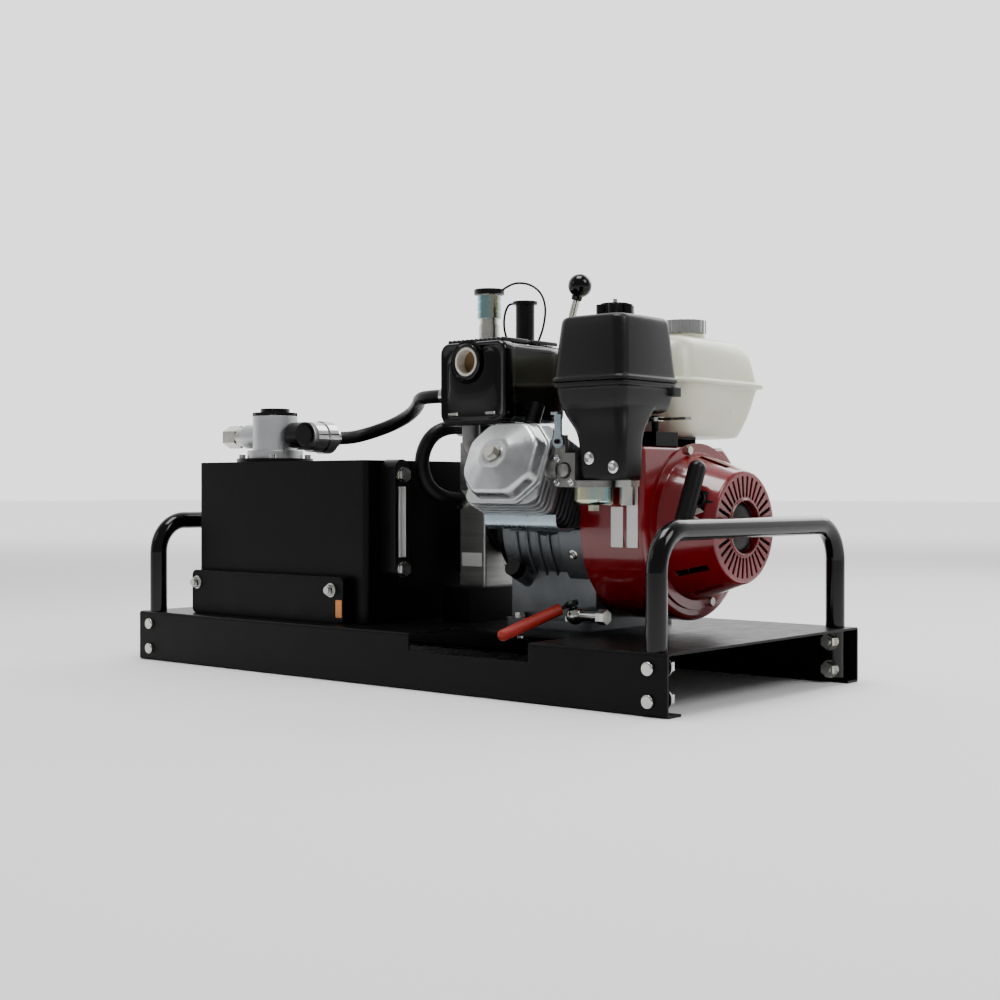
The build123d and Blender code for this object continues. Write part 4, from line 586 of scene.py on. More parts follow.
def coil_line(start: Point, end: Point, radius: float, turns: int) -> np.ndarray:
    """Helix: start + t * (end - start) + radius * (cos, sin) of the turning angle.

    Args:
        start: One end of its axis, in millimetres.
        end: Other end of its axis, in millimetres.
        radius: Radius of the coil, in millimetres.
        turns: Number of turns.

    Returns:
        Points along the wire's centre, in metres.
    """
    side, up, _ = axis_frame(tuple(np.subtract(end, start)))
    t = np.linspace(0.0, 1.0, turns * 14)[:, None]
    angle = 2 * np.pi * turns * t
    middle = np.array(start) + t * np.subtract(end, start)
    return (middle + radius * (np.cos(angle) * side + np.sin(angle) * up)) * MM


def polygon_outline(corners: list[tuple[float, float]], radius: float, steps: int = 5) -> np.ndarray:
    """Closed outline whose corners are rounded by quadratic curves.

    Near each corner the line follows (1-t)^2 a + 2t(1-t) corner + t^2 b, where a and b
    lie on the two edges at the given distance from the corner.

    Args:
        corners: Corner points in order.
        radius: Distance from a corner at which its curve starts.
        steps: Points per corner, less one.

    Returns:
        Array of points, the first repeated at the end.
    """
    corner = np.array(corners, float)
    before = np.roll(corner, 1, axis=0) - corner
    after = np.roll(corner, -1, axis=0) - corner
    start = corner + before / np.linalg.norm(before, axis=1)[:, None] * radius
    end = corner + after / np.linalg.norm(after, axis=1)[:, None] * radius
    t = np.linspace(0.0, 1.0, steps + 1)[None, :, None]
    arc = (1 - t) ** 2 * start[:, None] + 2 * t * (1 - t) * corner[:, None] + t**2 * end[:, None]
    ring = arc.reshape(-1, 2)
    return np.concatenate([ring, ring[:1]])


def lofted(
    outlines: list[np.ndarray], heights: list[float], centre: Point, across: Point, up: Point
) -> np.ndarray:
    """Skin over a stack of outlines that share a count, with both ends closed to a point.

    Args:
        outlines: Arrays of (count, 2), in the plane of across and up.
        heights: Distance of each outline along the normal, in metres.
        centre: Origin of the stack.
        across: Direction of the outlines' first coordinate.
        up: Direction of the outlines' second coordinate.

    Returns:
        Grid of points of shape (outlines + 2, count, 3).
    """
    first = np.array(across, float)
    second = np.array(up, float)
    normal = np.cross(first, second)
    first_pole = outlines[0] * 0.0 + outlines[0][:-1].mean(axis=0)
    last_pole = outlines[-1] * 0.0 + outlines[-1][:-1].mean(axis=0)
    layers = [first_pole, *outlines, last_pole]
    levels = [heights[0], *heights, heights[-1]]
    stack = [
        np.array(centre) + outline[:, :1] * first + outline[:, 1:] * second + level * normal
        for outline, level in zip(layers, levels)
    ]
    return np.stack(stack)


def rounded_outline(x0: float, x1: float, y0: float, y1: float, radius: float, steps: int = 6) -> np.ndarray:
    """Rectangle with round corners: each corner is centre + radius * (cos t, sin t).

    Args:
        x0: Left side.
        x1: Right side.
        y0: Lower side.
        y1: Upper side.
        radius: Corner radius.
        steps: Points per corner, less one.

    Returns:
        Closed outline, the first point repeated at the end.
    """
    centres = np.array([
        (x1 - radius, y1 - radius), (x0 + radius, y1 - radius),
        (x0 + radius, y0 + radius), (x1 - radius, y0 + radius),
    ])
    turn = np.arange(4)[:, None] * np.pi / 2 + np.linspace(0.0, np.pi / 2, steps + 1)
    ring = centres[:, None] + radius * np.stack([np.cos(turn), np.sin(turn)], axis=-1)
    ring = ring.reshape(-1, 2)
    return np.concatenate([ring, ring[:1]])


def cut_outline(half_x: float, half_y: float, cut: float, radius: float) -> np.ndarray:
    """Octagon: a rectangle whose corners are cut at 45 degrees, then softened.

    Args:
        half_x: Half its width.
        half_y: Half its height.
        cut: Side of each triangle that is cut away.
        radius: Distance from a corner at which its curve starts.

    Returns:
        Closed outline, the first point repeated at the end.
    """
    near_x, near_y = half_x - cut, half_y - cut
    corners = [
        (half_x, -near_y), (half_x, near_y), (near_x, half_y), (-near_x, half_y),
        (-half_x, near_y), (-half_x, -near_y), (-near_x, -half_y), (near_x, -half_y),
    ]
    return polygon_outline(corners, radius)


def soften(levels: list[tuple[float, ...]], rounds: int = 2) -> np.ndarray:
    """Corner cutting: each stretch keeps points at a quarter and three quarters of it.

    Args:
        levels: Rows of numbers that change from one to the next.
        rounds: How often the corners are cut.

    Returns:
        More rows on a softer line, with the same first and last row.
    """
    rows = np.array(levels, float)
    for _ in range(rounds):
        near = 0.75 * rows[:-1] + 0.25 * rows[1:]
        far = 0.25 * rows[:-1] + 0.75 * rows[1:]
        cut = np.stack([near, far], axis=1).reshape(-1, rows.shape[1])
        rows = np.concatenate([rows[:1], cut, rows[-1:]])
    return rows


UPRIGHT = ((1.0, 0.0, 0.0), (0.0, 1.0, 0.0))
FACING = ((1.0, 0.0, 0.0), (0.0, 0.0, 1.0))


def stack(
    levels: list[tuple[float, ...]], plane: tuple[Point, Point] = UPRIGHT, rounds: int = 2
) -> np.ndarray:
    """Moulded shell over rounded rectangles that change from level to level.

    Args:
        levels: Height, x0, x1, y0, y1 and corner radius of each level, in millimetres.
        plane: Directions of the rectangles' x and y; height runs along their product.
        rounds: How often the profile's corners are cut.

    Returns:
        Grid of points, in metres.
    """
    rows = soften(levels, rounds) * MM
    outlines = [rounded_outline(*row[1:]) for row in rows]
    return lofted(outlines, rows[:, 0].tolist(), (0.0, 0.0, 0.0), *plane)


def slab_grid(low: Point, high: Point, radius: float, plane: tuple[Point, Point]) -> np.ndarray:
    """Thin rounded plate whose front edge is eased, given in the plane's own axes.

    Args:
        low: Lowest x, y and height, in millimetres.
        high: Highest x, y and height, in millimetres.
        radius: Corner radius, in millimetres.
        plane: Directions of the plate's x and y.

    Returns:
        Grid of points, in metres.
    """
    ease = min(0.3 * (high[2] - low[2]), 0.6 * radius)
    rim = (low[0], high[0], low[1], high[1], radius)
    inner = (low[0] + ease, high[0] - ease, low[1] + ease, high[1] - ease, radius - ease * 0.9)
    return stack([(low[2], *rim), (high[2] - ease, *rim), (high[2], *inner)], plane, 0)


def sheet_metal(line: np.ndarray, thick: float, x0: float, x1: float) -> list[np.ndarray]:
    """Bent strip: a line in the Y-Z plane, thickened both ways and carried along X.

    Each side is line +/- thick/2 * normal, where the normal is the local direction
    turned by a right angle. All edges are closed.

    Args:
        line: Points of (y, z), in metres.
        thick: Metal thickness, in metres.
        x0: One end, in metres.
        x1: Other end, in metres.

    Returns:
        Grids that weld into one closed strip.
    """
    direction = np.gradient(line, axis=0)
    direction /= np.linalg.norm(direction, axis=1)[:, None]
    normal = np.stack([-direction[:, 1], direction[:, 0]], axis=1)
    sides = [line + normal * thick / 2, line - normal * thick / 2]
    skins = [
        np.stack([np.c_[np.full(len(side), x), side] for x in (x0, x1)]) for side in sides
    ]
    ends = [np.stack([skins[0][end], skins[1][end]]) for end in (0, 1)]
    lips = [np.stack([skins[0][:, end], skins[1][:, end]]) for end in (0, -1)]
    return skins + ends + lips


def route_curve(name: str, route: list[Point], radius: float, finish: Finish) -> bpy.types.Object:
    """Hose or cord as one smooth NURBS line with a round section.

    Args:
        name: Name of the piece.
        route: Control points, in metres.
        radius: Half the cord's diameter.
        finish: Finish of the cord.

    Returns:
        The curve object.
    """
    curve = bpy.data.curves.new(name, "CURVE")
    curve.dimensions = "3D"
    spline = curve.splines.new("NURBS")
    spline.points.add(len(route) - 1)
    spline.points.foreach_set("co", np.c_[np.array(route), np.ones(len(route))].ravel())
    spline.order_u = 3
    spline.use_endpoint_u = True
    spline.resolution_u = 12
    curve.bevel_depth = radius
    curve.bevel_resolution = 6
    curve.use_fill_caps = True
    piece = bpy.data.objects.new(name, curve)
    bpy.context.scene.collection.objects.link(piece)
    return dress(piece, finish)


def route_line(route: list[Point]) -> np.ndarray:
    """Points along the smooth line that a route's control points make.

    Args:
        route: Control points, in metres.

    Returns:
        Array of points read from the route's own NURBS curve.
    """
    curve = route_curve("route_line", route, 0.0, RUBBER)
    graph = bpy.context.evaluated_depsgraph_get()
    mesh = bpy.data.meshes.new_from_object(curve.evaluated_get(graph))
    line = np.empty(len(mesh.vertices) * 3)
    mesh.vertices.foreach_get("co", line)
    bpy.data.objects.remove(curve)
    bpy.data.meshes.remove(mesh)
    return line.reshape(-1, 3)


def tube_grid(line: np.ndarray, radius: float, sides: int = 16) -> np.ndarray:
    """Round tube along a line, closed at both ends.

    At each point the section is radius * (cos t * side + sin t * up), where side and up
    are square to the line's local direction, and the two ends shrink to a point.

    Args:
        line: Points along the centre.
        radius: Radius of the tube.
        sides: Steps round the section.

    Returns:
        Grid of points of shape (points + 2, sides + 1, 3).
    """
    direction = np.gradient(line, axis=0)
    direction /= np.linalg.norm(direction, axis=1)[:, None]
    helper = axis_frame(tuple(direction[0]))[0]
    side = np.cross(direction, helper)
    side /= np.linalg.norm(side, axis=1)[:, None]
    up = np.cross(direction, side)
    turn = np.linspace(0.0, 2.0 * np.pi, sides + 1)[None, :, None]
    skin = line[:, None] + radius * (np.cos(turn) * side[:, None] + np.sin(turn) * up[:, None])
    first = np.repeat(line[None, :1], sides + 1, axis=1)
    last = np.repeat(line[None, -1:], sides + 1, axis=1)
    return np.concatenate([first, skin, last])


def fix(piece: bpy.types.Object, slot: str, node: str = "") -> None:
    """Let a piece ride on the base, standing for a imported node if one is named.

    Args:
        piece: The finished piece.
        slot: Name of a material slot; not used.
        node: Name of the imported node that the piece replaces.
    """
    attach(piece, "base")
    if node:
        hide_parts(node)


# ------------------------------------------------------------------ studio
@dataclass(frozen=True)
class Softbox:
    """One square area light: its place and side in metres, and its output in watts."""

    name: str
    place: Point
    power: float
    size: float

    def build(self, target: Point) -> None:
        """Hang the light and aim it.

        Args:
            target: Point that it faces, in metres.
        """
        lamp = bpy.data.lights.new(self.name, "AREA")
        lamp.energy = self.power
        lamp.size = self.size
        box = bpy.data.objects.new(self.name, lamp)
        box.location = self.place
        aim = Vector(target) - Vector(self.place)
        box.rotation_euler = aim.to_track_quat("-Z", "Y").to_euler()
        bpy.context.scene.collection.objects.link(box)


@dataclass
class Studio:
    """Plain pale floor, soft lights and the camera, in metres and degrees."""

    eye: Point = (1.4401, -1.6377, 0.2528)
    heading: float = 40.44
    dip: float = -0.376
    lens: float = 55.8
    sensor: float = 36.0
    view_reach: float = 60.0
    target: Point = (0.0, 0.0, 0.2)
    lights: tuple[Softbox, ...] = (
        Softbox("key_light", (2.5, 0.3, 2.3), 34.0, 1.2),
        Softbox("fill_light", (-1.7, -2.4, 1.9), 5.0, 1.0),
        Softbox("rim_light", (0.2, 2.5, 2.0), 40.0, 1.8),
        Softbox("top_light", (0.1, -0.3, 2.9), 62.0, 1.3),
    )
    floor_reach: float = 30.0
    floor_tone: float = 0.92
    # Strength of the painted light: emission that makes the far floor glow like a lamp.
    floor_glow: float = 0.9
    glow_aim: Point = (-0.64, 0.77, 0.0)
    glow_span: tuple[float, float] = (1.2, 7.0)
    near_wall: float = 0.3
    far_wall: float = 2.0
    wall_aim: Point = (-0.62, 0.74, -0.26)
    wall_span: tuple[float, float] = (-0.3, 0.8)

    def build(self) -> None:
        """Make the floor, the surroundings, the lights and the camera."""
        self._floor()
        self._surroundings()
        for light in self.lights:
            light.build(self.target)
        self._camera()

    def _gradient(
        self, tree: bpy.types.NodeTree, place: str, aim: Point, span: tuple[float, float]
    ) -> bpy.types.Node:
        """Number that rises smoothly along a direction.

        Args:
            tree: Node tree that it is added to.
            place: Name of the texture coordinate that it reads.
            aim: Direction along which it rises.
            span: Where it starts and where it ends.

        Returns:
            The Map Range node, from 0 to 1 until its ends are set.
        """
        along = tree.nodes.new("ShaderNodeVectorMath")
        along.operation = "DOT_PRODUCT"
        along.inputs[1].default_value = aim
        rise = tree.nodes.new("ShaderNodeMapRange")
        rise.interpolation_type = "SMOOTHSTEP"
        rise.inputs["From Min"].default_value = span[0]
        rise.inputs["From Max"].default_value = span[1]
        tree.links.new(tree.nodes.new("ShaderNodeTexCoord").outputs[place], along.inputs[0])
        tree.links.new(along.outputs["Value"], rise.inputs["Value"])
        return rise

    def _floor(self) -> None:
        """Large flat sheet whose far side glows, painted light that brings it up to the wall's tone, so no
        line shows.
        """
        mesh = bpy.data.meshes.new("studio_floor")
        reach = self.floor_reach
        corners = [(-reach, -reach, 0), (reach, -reach, 0), (reach, reach, 0), (-reach, reach, 0)]
        mesh.from_pydata(corners, [], [(0, 1, 2, 3)])
        floor = bpy.data.objects.new("studio_floor", mesh)
        bpy.context.scene.collection.objects.link(floor)
        paint = bpy.data.materials.new("studio_floor")
        paint.use_nodes = True
        shader = paint.node_tree.nodes["Principled BSDF"]
        shader.inputs["Base Color"].default_value = (*[self.floor_tone] * 3, 1.0)
        shader.inputs["Roughness"].default_value = 0.9
        shader.inputs["Emission Color"].default_value = (1.0, 1.0, 1.0, 1.0)
        # Painted light: the floor's emission rises with distance, so its far side matches the wall.
        glow = self._gradient(paint.node_tree, "Object", self.glow_aim, self.glow_span)
        glow.inputs["To Max"].default_value = self.floor_glow
        paint.node_tree.links.new(glow.outputs["Result"], shader.inputs["Emission Strength"])
        mesh.materials.append(paint)

    def _surroundings(self) -> None:
        """Plain room whose brightness rises smoothly from one side to the other."""
        world = bpy.data.worlds.new("studio")
        world.use_nodes = True
        wall = self._gradient(world.node_tree, "Generated", self.wall_aim, self.wall_span)
        wall.inputs["To Min"].default_value = self.near_wall
        wall.inputs["To Max"].default_value = self.far_wall
        background = world.node_tree.nodes["Background"]
        background.inputs["Color"].default_value = (1.0, 1.0, 1.0, 1.0)
        world.node_tree.links.new(wall.outputs["Result"], background.inputs["Strength"])
        bpy.context.scene.world = world

    def _camera(self) -> None:
        """Camera at eye level with the deck, turned to the left."""
        camera = bpy.data.cameras.new("camera")
        camera.lens = self.lens
        camera.sensor_width = self.sensor
        camera.clip_end = self.view_reach
        body = bpy.data.objects.new("camera", camera)
        body.location = self.eye
        body.rotation_euler = (math.radians(90 + self.dip), 0.0, math.radians(self.heading))
        bpy.context.scene.collection.objects.link(body)
        bpy.context.scene.camera = body


# ------------------------------------------------------------------ hoses and tethers
@dataclass
class Plumbing:
    """The two hydraulic hoses, the dust-cap tethers and the ring that they end in."""

    hose_radius: float = 10.0 * MM
    tether_radius: float = 1.6 * MM
    ring_drop: float = 3.0
    return_route: list[Point] = field(default_factory=lambda: [
        (-0.312, 0.024, 0.333), (-0.312, 0.054, 0.333), (-0.296, 0.082, 0.341),
        (-0.258, 0.097, 0.354), (-0.213, 0.091, 0.369), (-0.174, 0.066, 0.381),
        (-0.145, 0.038, 0.388), (-0.116, 0.025, 0.389), (-0.084, 0.025, 0.389),
    ])
    pressure_route: list[Point] = field(default_factory=lambda: [
        (0.002, -0.034, 0.340), (0.002, -0.058, 0.340), (-0.008, -0.082, 0.329),
        (-0.017, -0.092, 0.304), (-0.018, -0.092, 0.277), (-0.011, -0.082, 0.252),
        (0.002, -0.061, 0.239), (0.002, -0.038, 0.239),
    ])
    cap_route: list[Point] = field(default_factory=lambda: [
        (0.026, 0.025, 0.533), (0.033, 0.033, 0.541), (0.042, 0.044, 0.545),
        (0.060, 0.049, 0.541), (0.078, 0.050, 0.528), (0.089, 0.046, 0.507),
        (0.092, 0.039, 0.484), (0.091, 0.031, 0.463), (0.086, 0.025, 0.447),
    ])
    nipple_route: list[Point] = field(default_factory=lambda: [
        (0.0505, 0.025, 0.512), (0.042, 0.0245, 0.514), (0.035, 0.024, 0.506),
        (0.031, 0.024, 0.492), (0.032, 0.024, 0.475), (0.039, 0.0245, 0.459),
        (0.052, 0.025, 0.447),
    ])

    def build(self) -> None:
        self._hose("return_hose_line", "return_hose", self.return_route)
        self._hose("pressure_hose_line", "pressure_hose", self.pressure_route)
        self._tether("socket_tether", self.cap_route)
        self._tether("nipple_tether", self.nipple_route)
        self._ring()

    def _hose(self, name: str, node: str, route: list[Point]) -> None:
        """One hose between two fittings.

        Args:
            name: Name of the piece.
            node: The CAD node that it stands for.
            route: Its control points.
        """
        piece = route_curve(name, route, self.hose_radius, RUBBER)
        fix(piece, "rubber_black", node)
        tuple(route[0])

    def _tether(self, name: str, route: list[Point]) -> None:
        """One thin strap from a dust cap to the ring at the nipple's foot.

        Args:
            name: Name of the piece.
            route: Its control points.
        """
        line = route_line(route)
        piece = surface(name, [tube_grid(line, self.tether_radius, 12)], RUBBER)
        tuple(route[0])
        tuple(route[-1])
        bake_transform(piece)
        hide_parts("cap_tethers")
        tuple(route[0])

    def _ring(self) -> None:
        """Moulded ring under the nipple's cap that both tethers end in."""
        cap = Box.of("nipple_cap")
        profile = [(9.7, -1.5), (14.0, -1.8), (15.0, 0.0), (14.0, 1.8), (9.7, 1.5), (9.7, -1.5)]
        place = tuple(c * MM for c in (*cap.middle[:2], cap.low - self.ring_drop))
        ring = surface("tether_ring", [turned(millimetres(profile), place, (0, 0, 1))], RUBBER)
        fix(ring, "rubber_black")


# ------------------------------------------------------------------ exhaust
@dataclass
class Silencer:
    """Pressed steel silencer: lipped shell, dished front, round boss and louvred roof."""

    box: Box
    outlet_x: float = 108.0
    outlet_z: float = 418.0
    louvres: int = 13

    @property
    def front(self) -> float:
        """Reach of the front face towards -Y."""
        return -self.box.front

    @property
    def back(self) -> float:
        """Reach of the back face towards -Y."""
        return -self.box.back

    def build(self) -> None:
        """Make the shell, its louvres and the small welded tabs."""
        self._shell()
        self._collar()
        self._louvres()
        self._tabs()

    def _shell(self) -> None:
        """Shell and dished front as one stack of outlines that ends in the outlet's bore."""
        x0, x1, z0, z1 = self.box.left, self.box.right, self.box.low, self.box.high - 4
        front = self.front
        box = [
            (self.back, x0 + 8, x1 - 8, z0 + 8, z1 - 8, 8),
            (self.back, x0 + 4, x1 - 4, z0 + 4, z1 - 4, 10),
            (self.back + 5, x0 + 1.5, x1 - 1.5, z0 + 1.5, z1 - 1.5, 12),
            (front - 21, x0 + 1.5, x1 - 1.5, z0 + 1.5, z1 - 1.5, 12),
            (front - 20, x0, x1, z0, z1, 13), (front - 6, x0, x1, z0, z1, 13),
            (front, x0 + 1, x1 - 1, z0 + 1, z1 - 1, 13), (front, x0 + 5, x1 - 5, z0 + 5, z1 - 5, 12),
            (front - 3, x0 + 7, x1 - 7, z0 + 7, z1 - 7, 12),
            (front - 3.4, x0 + 12, x1 - 12, z0 + 13, z1 - 9, 20),
            (front - 0.5, x0 + 16, x1 - 20, z0 + 34, z1 - 10, 30),
        ]
        rows = soften(box, 1) * MM
        outlines = [rounded_outline(*row[1:]) for row in rows]
        heights = rows[:, 0].tolist()
        for height, radius in ((front - 0.5, 29), (front - 2.5, 27), (front - 3, 22), (front - 1, 20.5),
                               (front - 1, 17.6), (front - 12, 17.2), (front - 13, 14)):
            ring = rounded_outline(-radius, radius, -radius, radius, radius) + (self.outlet_x, self.outlet_z)
            outlines.append(ring * MM)
            heights.append(height * MM)
        shell = surface("silencer_shell", [lofted(outlines, heights, (0, 0, 0), *FACING)], GLOSS)
        bore_low = ((self.outlet_x - 18) * MM, (1 - front) * MM, (self.outlet_z - 18) * MM)
        bore_high = ((self.outlet_x + 18) * MM, (16 - front) * MM, (self.outlet_z + 18) * MM)
        dress_inside(shell, bore_low, bore_high, SOOT)
        fix(shell, "gloss_black", "muffler")

    def _collar(self) -> None:
        """Black collar round the outlet that leaves only the bore's burnt lip bare."""
        profile = [
            (18.4, -2.4), (18.4, 2.9), (19.2, 3.5), (22.4, 3.5), (23.6, 2.4), (24.0, -2.4),
            (18.4, -2.4),
        ]
        place = (self.outlet_x * MM, -self.front * MM, self.outlet_z * MM)
        collar = surface("outlet_collar", [turned(millimetres(profile), place, (0, -1, 0))], GLOSS)
        fix(collar, "gloss_black")

    def _louvres(self) -> None:
        """Two rows of pressed louvres across the roof."""
        pitch = (self.box.right - self.box.left - 14) / self.louvres
        low = self.box.high - 5
        grids = []
        for row_front, row_back in ((self.front - 6, 82.0), (76.0, self.back + 6)):
            for index in range(self.louvres):
                x = self.box.left + 7 + pitch * (index + 0.18)
                grids.append(stack([
                    (low, x, x + pitch * 0.6, -row_front, -row_back, 1.9),
                    (self.box.high - 1.4, x, x + pitch * 0.6, -row_front, -row_back, 1.9),
                    (self.box.high, x + 1, x + pitch * 0.6 - 1, 1 - row_front, -1 - row_back, 1.2),
                ], rounds=0))
        louvres = surface("silencer_louvres", grids, GLOSS)
        fix(louvres, "gloss_black")

    def _tabs(self) -> None:
        """Two bright spot-welded tabs and the lip under the front."""
        grids = [
            slab_grid(
                (x, self.box.low + 11, self.front - 4), (x + 17, self.box.low + 15, self.front + 0.6),
                1.8, FACING,
            )
            for x in (self.box.left + 14, self.box.right - 34)
        ]
        tabs = surface("silencer_tabs", grids, ZINC)
        lip = surface("silencer_lip", [slab_grid(
            (self.box.left + 3, self.box.low - 2, self.front - 24),
            (self.box.right - 3, self.box.low + 2.5, self.front + 1), 1.5, FACING,
        )], GLOSS)
        fix(tabs, "zinc")
        fix(lip, "gloss_black")


# ------------------------------------------------------------------ intake
@dataclass
class AirCleaner:
    """Moulded lid over a base whose duct funnels down to the carburettor."""

    lid: Box
    base: Box
    bolts: tuple[tuple[float, float], ...] = ((304.0, 291.0), (340.0, 280.0))

    def _inset(self, height: float, inset: float, radius: float) -> tuple[float, ...]:
        """One level of the lid or base, drawn in from the rim by a given distance."""
        box = self.lid
        return (
            height, box.left + inset, box.right - inset, box.front + inset, box.back - inset, radius
        )

    def build(self) -> None:
        """Make the lid, the base with its duct, and the duct's bolts."""
        split, top = self.lid.low, self.lid.high
        lid = surface("air_lid", [stack([
            self._inset(split - 0.2, 3, 13), self._inset(split - 0.2, 0.2, 15), self._inset(split + 1, 0, 15),
            self._inset(split + 4, 0, 15), self._inset(split + 5, 2.4, 14), self._inset(split + 8, 3, 14),
            self._inset(top - 12, 8, 15), self._inset(top - 3, 10, 15), self._inset(top - 0.6, 18, 14),
            self._inset(top, 30, 12),
        ])], CHARCOAL)
        base = surface("air_tray", [self._tray(), self._duct(), self._tab()], CHARCOAL)
        bolts = [grid for x, z in self.bolts for grid in self._bolt(x, z)]
        heads = surface("duct_bolts", bolts, CHROME)
        fix(lid, "charcoal_plastic", "air_cover")
        fix(base, "charcoal_plastic", "air_base")
        fix(heads, "zinc")

    def _tray(self) -> np.ndarray:
        """Tray under the lid: a rim, a step in and walls that draw in downwards."""
        split = self.lid.low
        return stack([
            self._inset(split - 38, 16, 12), self._inset(split - 34, 8, 13), self._inset(split - 14, 5, 14),
            self._inset(split - 8, 4.5, 14), self._inset(split - 7, 1, 15), self._inset(split - 1, 1, 15),
            self._inset(split - 0.8, 4, 13),
        ])

    def _duct(self) -> np.ndarray:
        """Funnel that narrows from the tray to a rounded foot."""
        low = self.base.low
        front = self.lid.front
        return stack([
            (low, 302, 338, front + 12, front + 40, 8), (low, 290, 350, front + 3, front + 48, 10),
            (low + 6, 286, 353, front + 2, front + 49, 10), (low + 46, 284, 353, front + 2, front + 50, 10),
            (low + 62, 276, 352, front + 4, front + 58, 12), (low + 80, 256, 349, front + 8, front + 76, 14),
            (low + 92, 250, 348, front + 9, front + 90, 14),
        ])

    def _tab(self) -> np.ndarray:
        """Latch tab at the rear corner of the tray's rim."""
        split = self.lid.low
        right, back = self.lid.right, self.lid.back
        return slab_grid((right - 24, back - 22, split - 17), (right, back - 1, split - 4), 3, UPRIGHT)

    def _bolt(self, x: float, z: float) -> list[np.ndarray]:
        """Washer and domed hexagon head facing the front.

        Args:
            x: Place along X, in millimetres.
            z: Height, in millimetres.

        Returns:
            Grids of the washer and the head.
        """
        y = self.lid.front + 2.0
        washer = [(0, -0.6), (7.5, -0.6), (7.5, 0.6), (6.8, 0.9), (0, 0.9)]
        head = [(0, 0.9), (5.4, 0.9), (5.4, 3.6), (4.4, 4.6), (1.5, 4.4), (0, 3.6)]
        place = (x * MM, y * MM, z * MM)
        return [
            turned(millimetres(profile), place, (0, -1, 0), sides)
            for profile, sides in ((washer, 32), (head, 6))
        ]


# ------------------------------------------------------------------ fuel
@dataclass
class FuelTank:
    """Translucent two-part moulding with a welded seam and soft shoulders."""

    box: Box
    cap: Box
    seam: float = 390.0
    neck_height: float = 6.0
    neck_radius: float = 29.0

    def _inset(self, height: float, inset: float, radius: float) -> tuple[float, ...]:
        """One level of the tank, drawn in from the seam by a given distance."""
        box = self.box
        return (
            height, box.left + inset, box.right - inset, box.front + inset, box.back - inset, radius
        )

    def build(self) -> None:
        """Make the moulding with its neck."""
        low, seam, top = self.box.low, self.seam, self.box.high - self.neck_height
        body = stack([
            self._inset(low, 54, 20), self._inset(low, 32, 28), self._inset(low + 4, 26, 32),
            self._inset(low + 34, 15, 34), self._inset(seam - 3, 8, 36), self._inset(seam - 0.6, 7, 36),
            self._inset(seam, 0.4, 40), self._inset(seam + 1, 0, 40), self._inset(seam + 4, 0, 40),
            self._inset(seam + 5, 0.6, 40), self._inset(seam + 6, 7.5, 36), self._inset(seam + 12, 8.5, 36),
            self._inset(seam + 42, 14, 36), self._inset(top - 9, 22, 34), self._inset(top - 3, 36, 28),
            self._inset(top, 60, 18),
        ])
        radius = self.neck_radius
        collar = [(0, -8), (radius, -8), (radius, 4), (radius - 2, 5.5), (0, 5.5)]
        place = tuple(c * MM for c in (*self.cap.middle[:2], top))
        neck = turned(millimetres(collar), place, (0, 0, 1))
        tank = surface("fuel_tank_shell", [body, neck], CREAM, 32.0)
        fix(tank, "cream_plastic", "fuel_tank")


# ------------------------------------------------------------------ cylinder
@dataclass
class RockerCover:
    """Pressed eight-sided cover with a beaded rim and a sloped raised middle.

    Each level is its distance from the crank's axis along the cylinder, half its width and
    height, the side of its cut corners and their softening, in millimetres.
    """

    crank: Point
    tilt: float = 24.0
    guide_ends: tuple[float, float] = (136.0, 252.0)
    guide_metal: float = 1.6
    levels: tuple[tuple[float, ...], ...] = (
        (193, 59, 53, 27, 6), (193, 61, 55, 28, 6), (196.8, 61, 55, 28, 6), (197.6, 60, 54, 28, 7),
        (197.8, 57.4, 51.4, 27, 8), (199.5, 56, 50, 26, 8), (212, 54.5, 48.6, 25, 9),
        (216.5, 51.5, 46, 24, 10), (218, 47, 42, 22, 10), (225.4, 27, 25, 14, 7),
        (227.6, 22, 20, 11, 6), (228, 17, 15, 8.5, 4), (227.2, 13, 13, 7.5, 4),
    )

    def build(self) -> None:
        """Make the cover over the cylinder head and the guide plate below it."""
        lean = math.radians(self.tilt)
        rows = soften(list(self.levels), 2)
        outlines = [cut_outline(*row[1:]) * MM for row in rows]
        place = tuple(c * MM for c in self.crank)
        up = (0, math.sin(lean), math.cos(lean))
        grid = lofted(outlines, (rows[:, 0] * MM).tolist(), place, (1, 0, 0), up)
        cover = surface("rocker_cover", [grid], POLISHED, 30.0)
        fix(cover, "machined_aluminium", "valve_cover")
        self._guide_plate()

    def _guide_plate(self) -> None:
        """Bent air guide under the cylinder: a flat lip that turns down behind a bend."""
        turn = np.linspace(-0.5 * np.pi, 0.0, 8)
        bend = np.stack([-128 - 9 * np.cos(turn), 213 + 9 * np.sin(turn)], axis=1)
        line = np.concatenate([[(-100.0, 204.0)], bend, [(-137.0, 222.0)]]) * MM
        ends = [x * MM for x in self.guide_ends]
        guide = surface("air_guide_plate", sheet_metal(line, self.guide_metal * MM, *ends), BLUE_ZINC)
        fix(guide, "zinc")


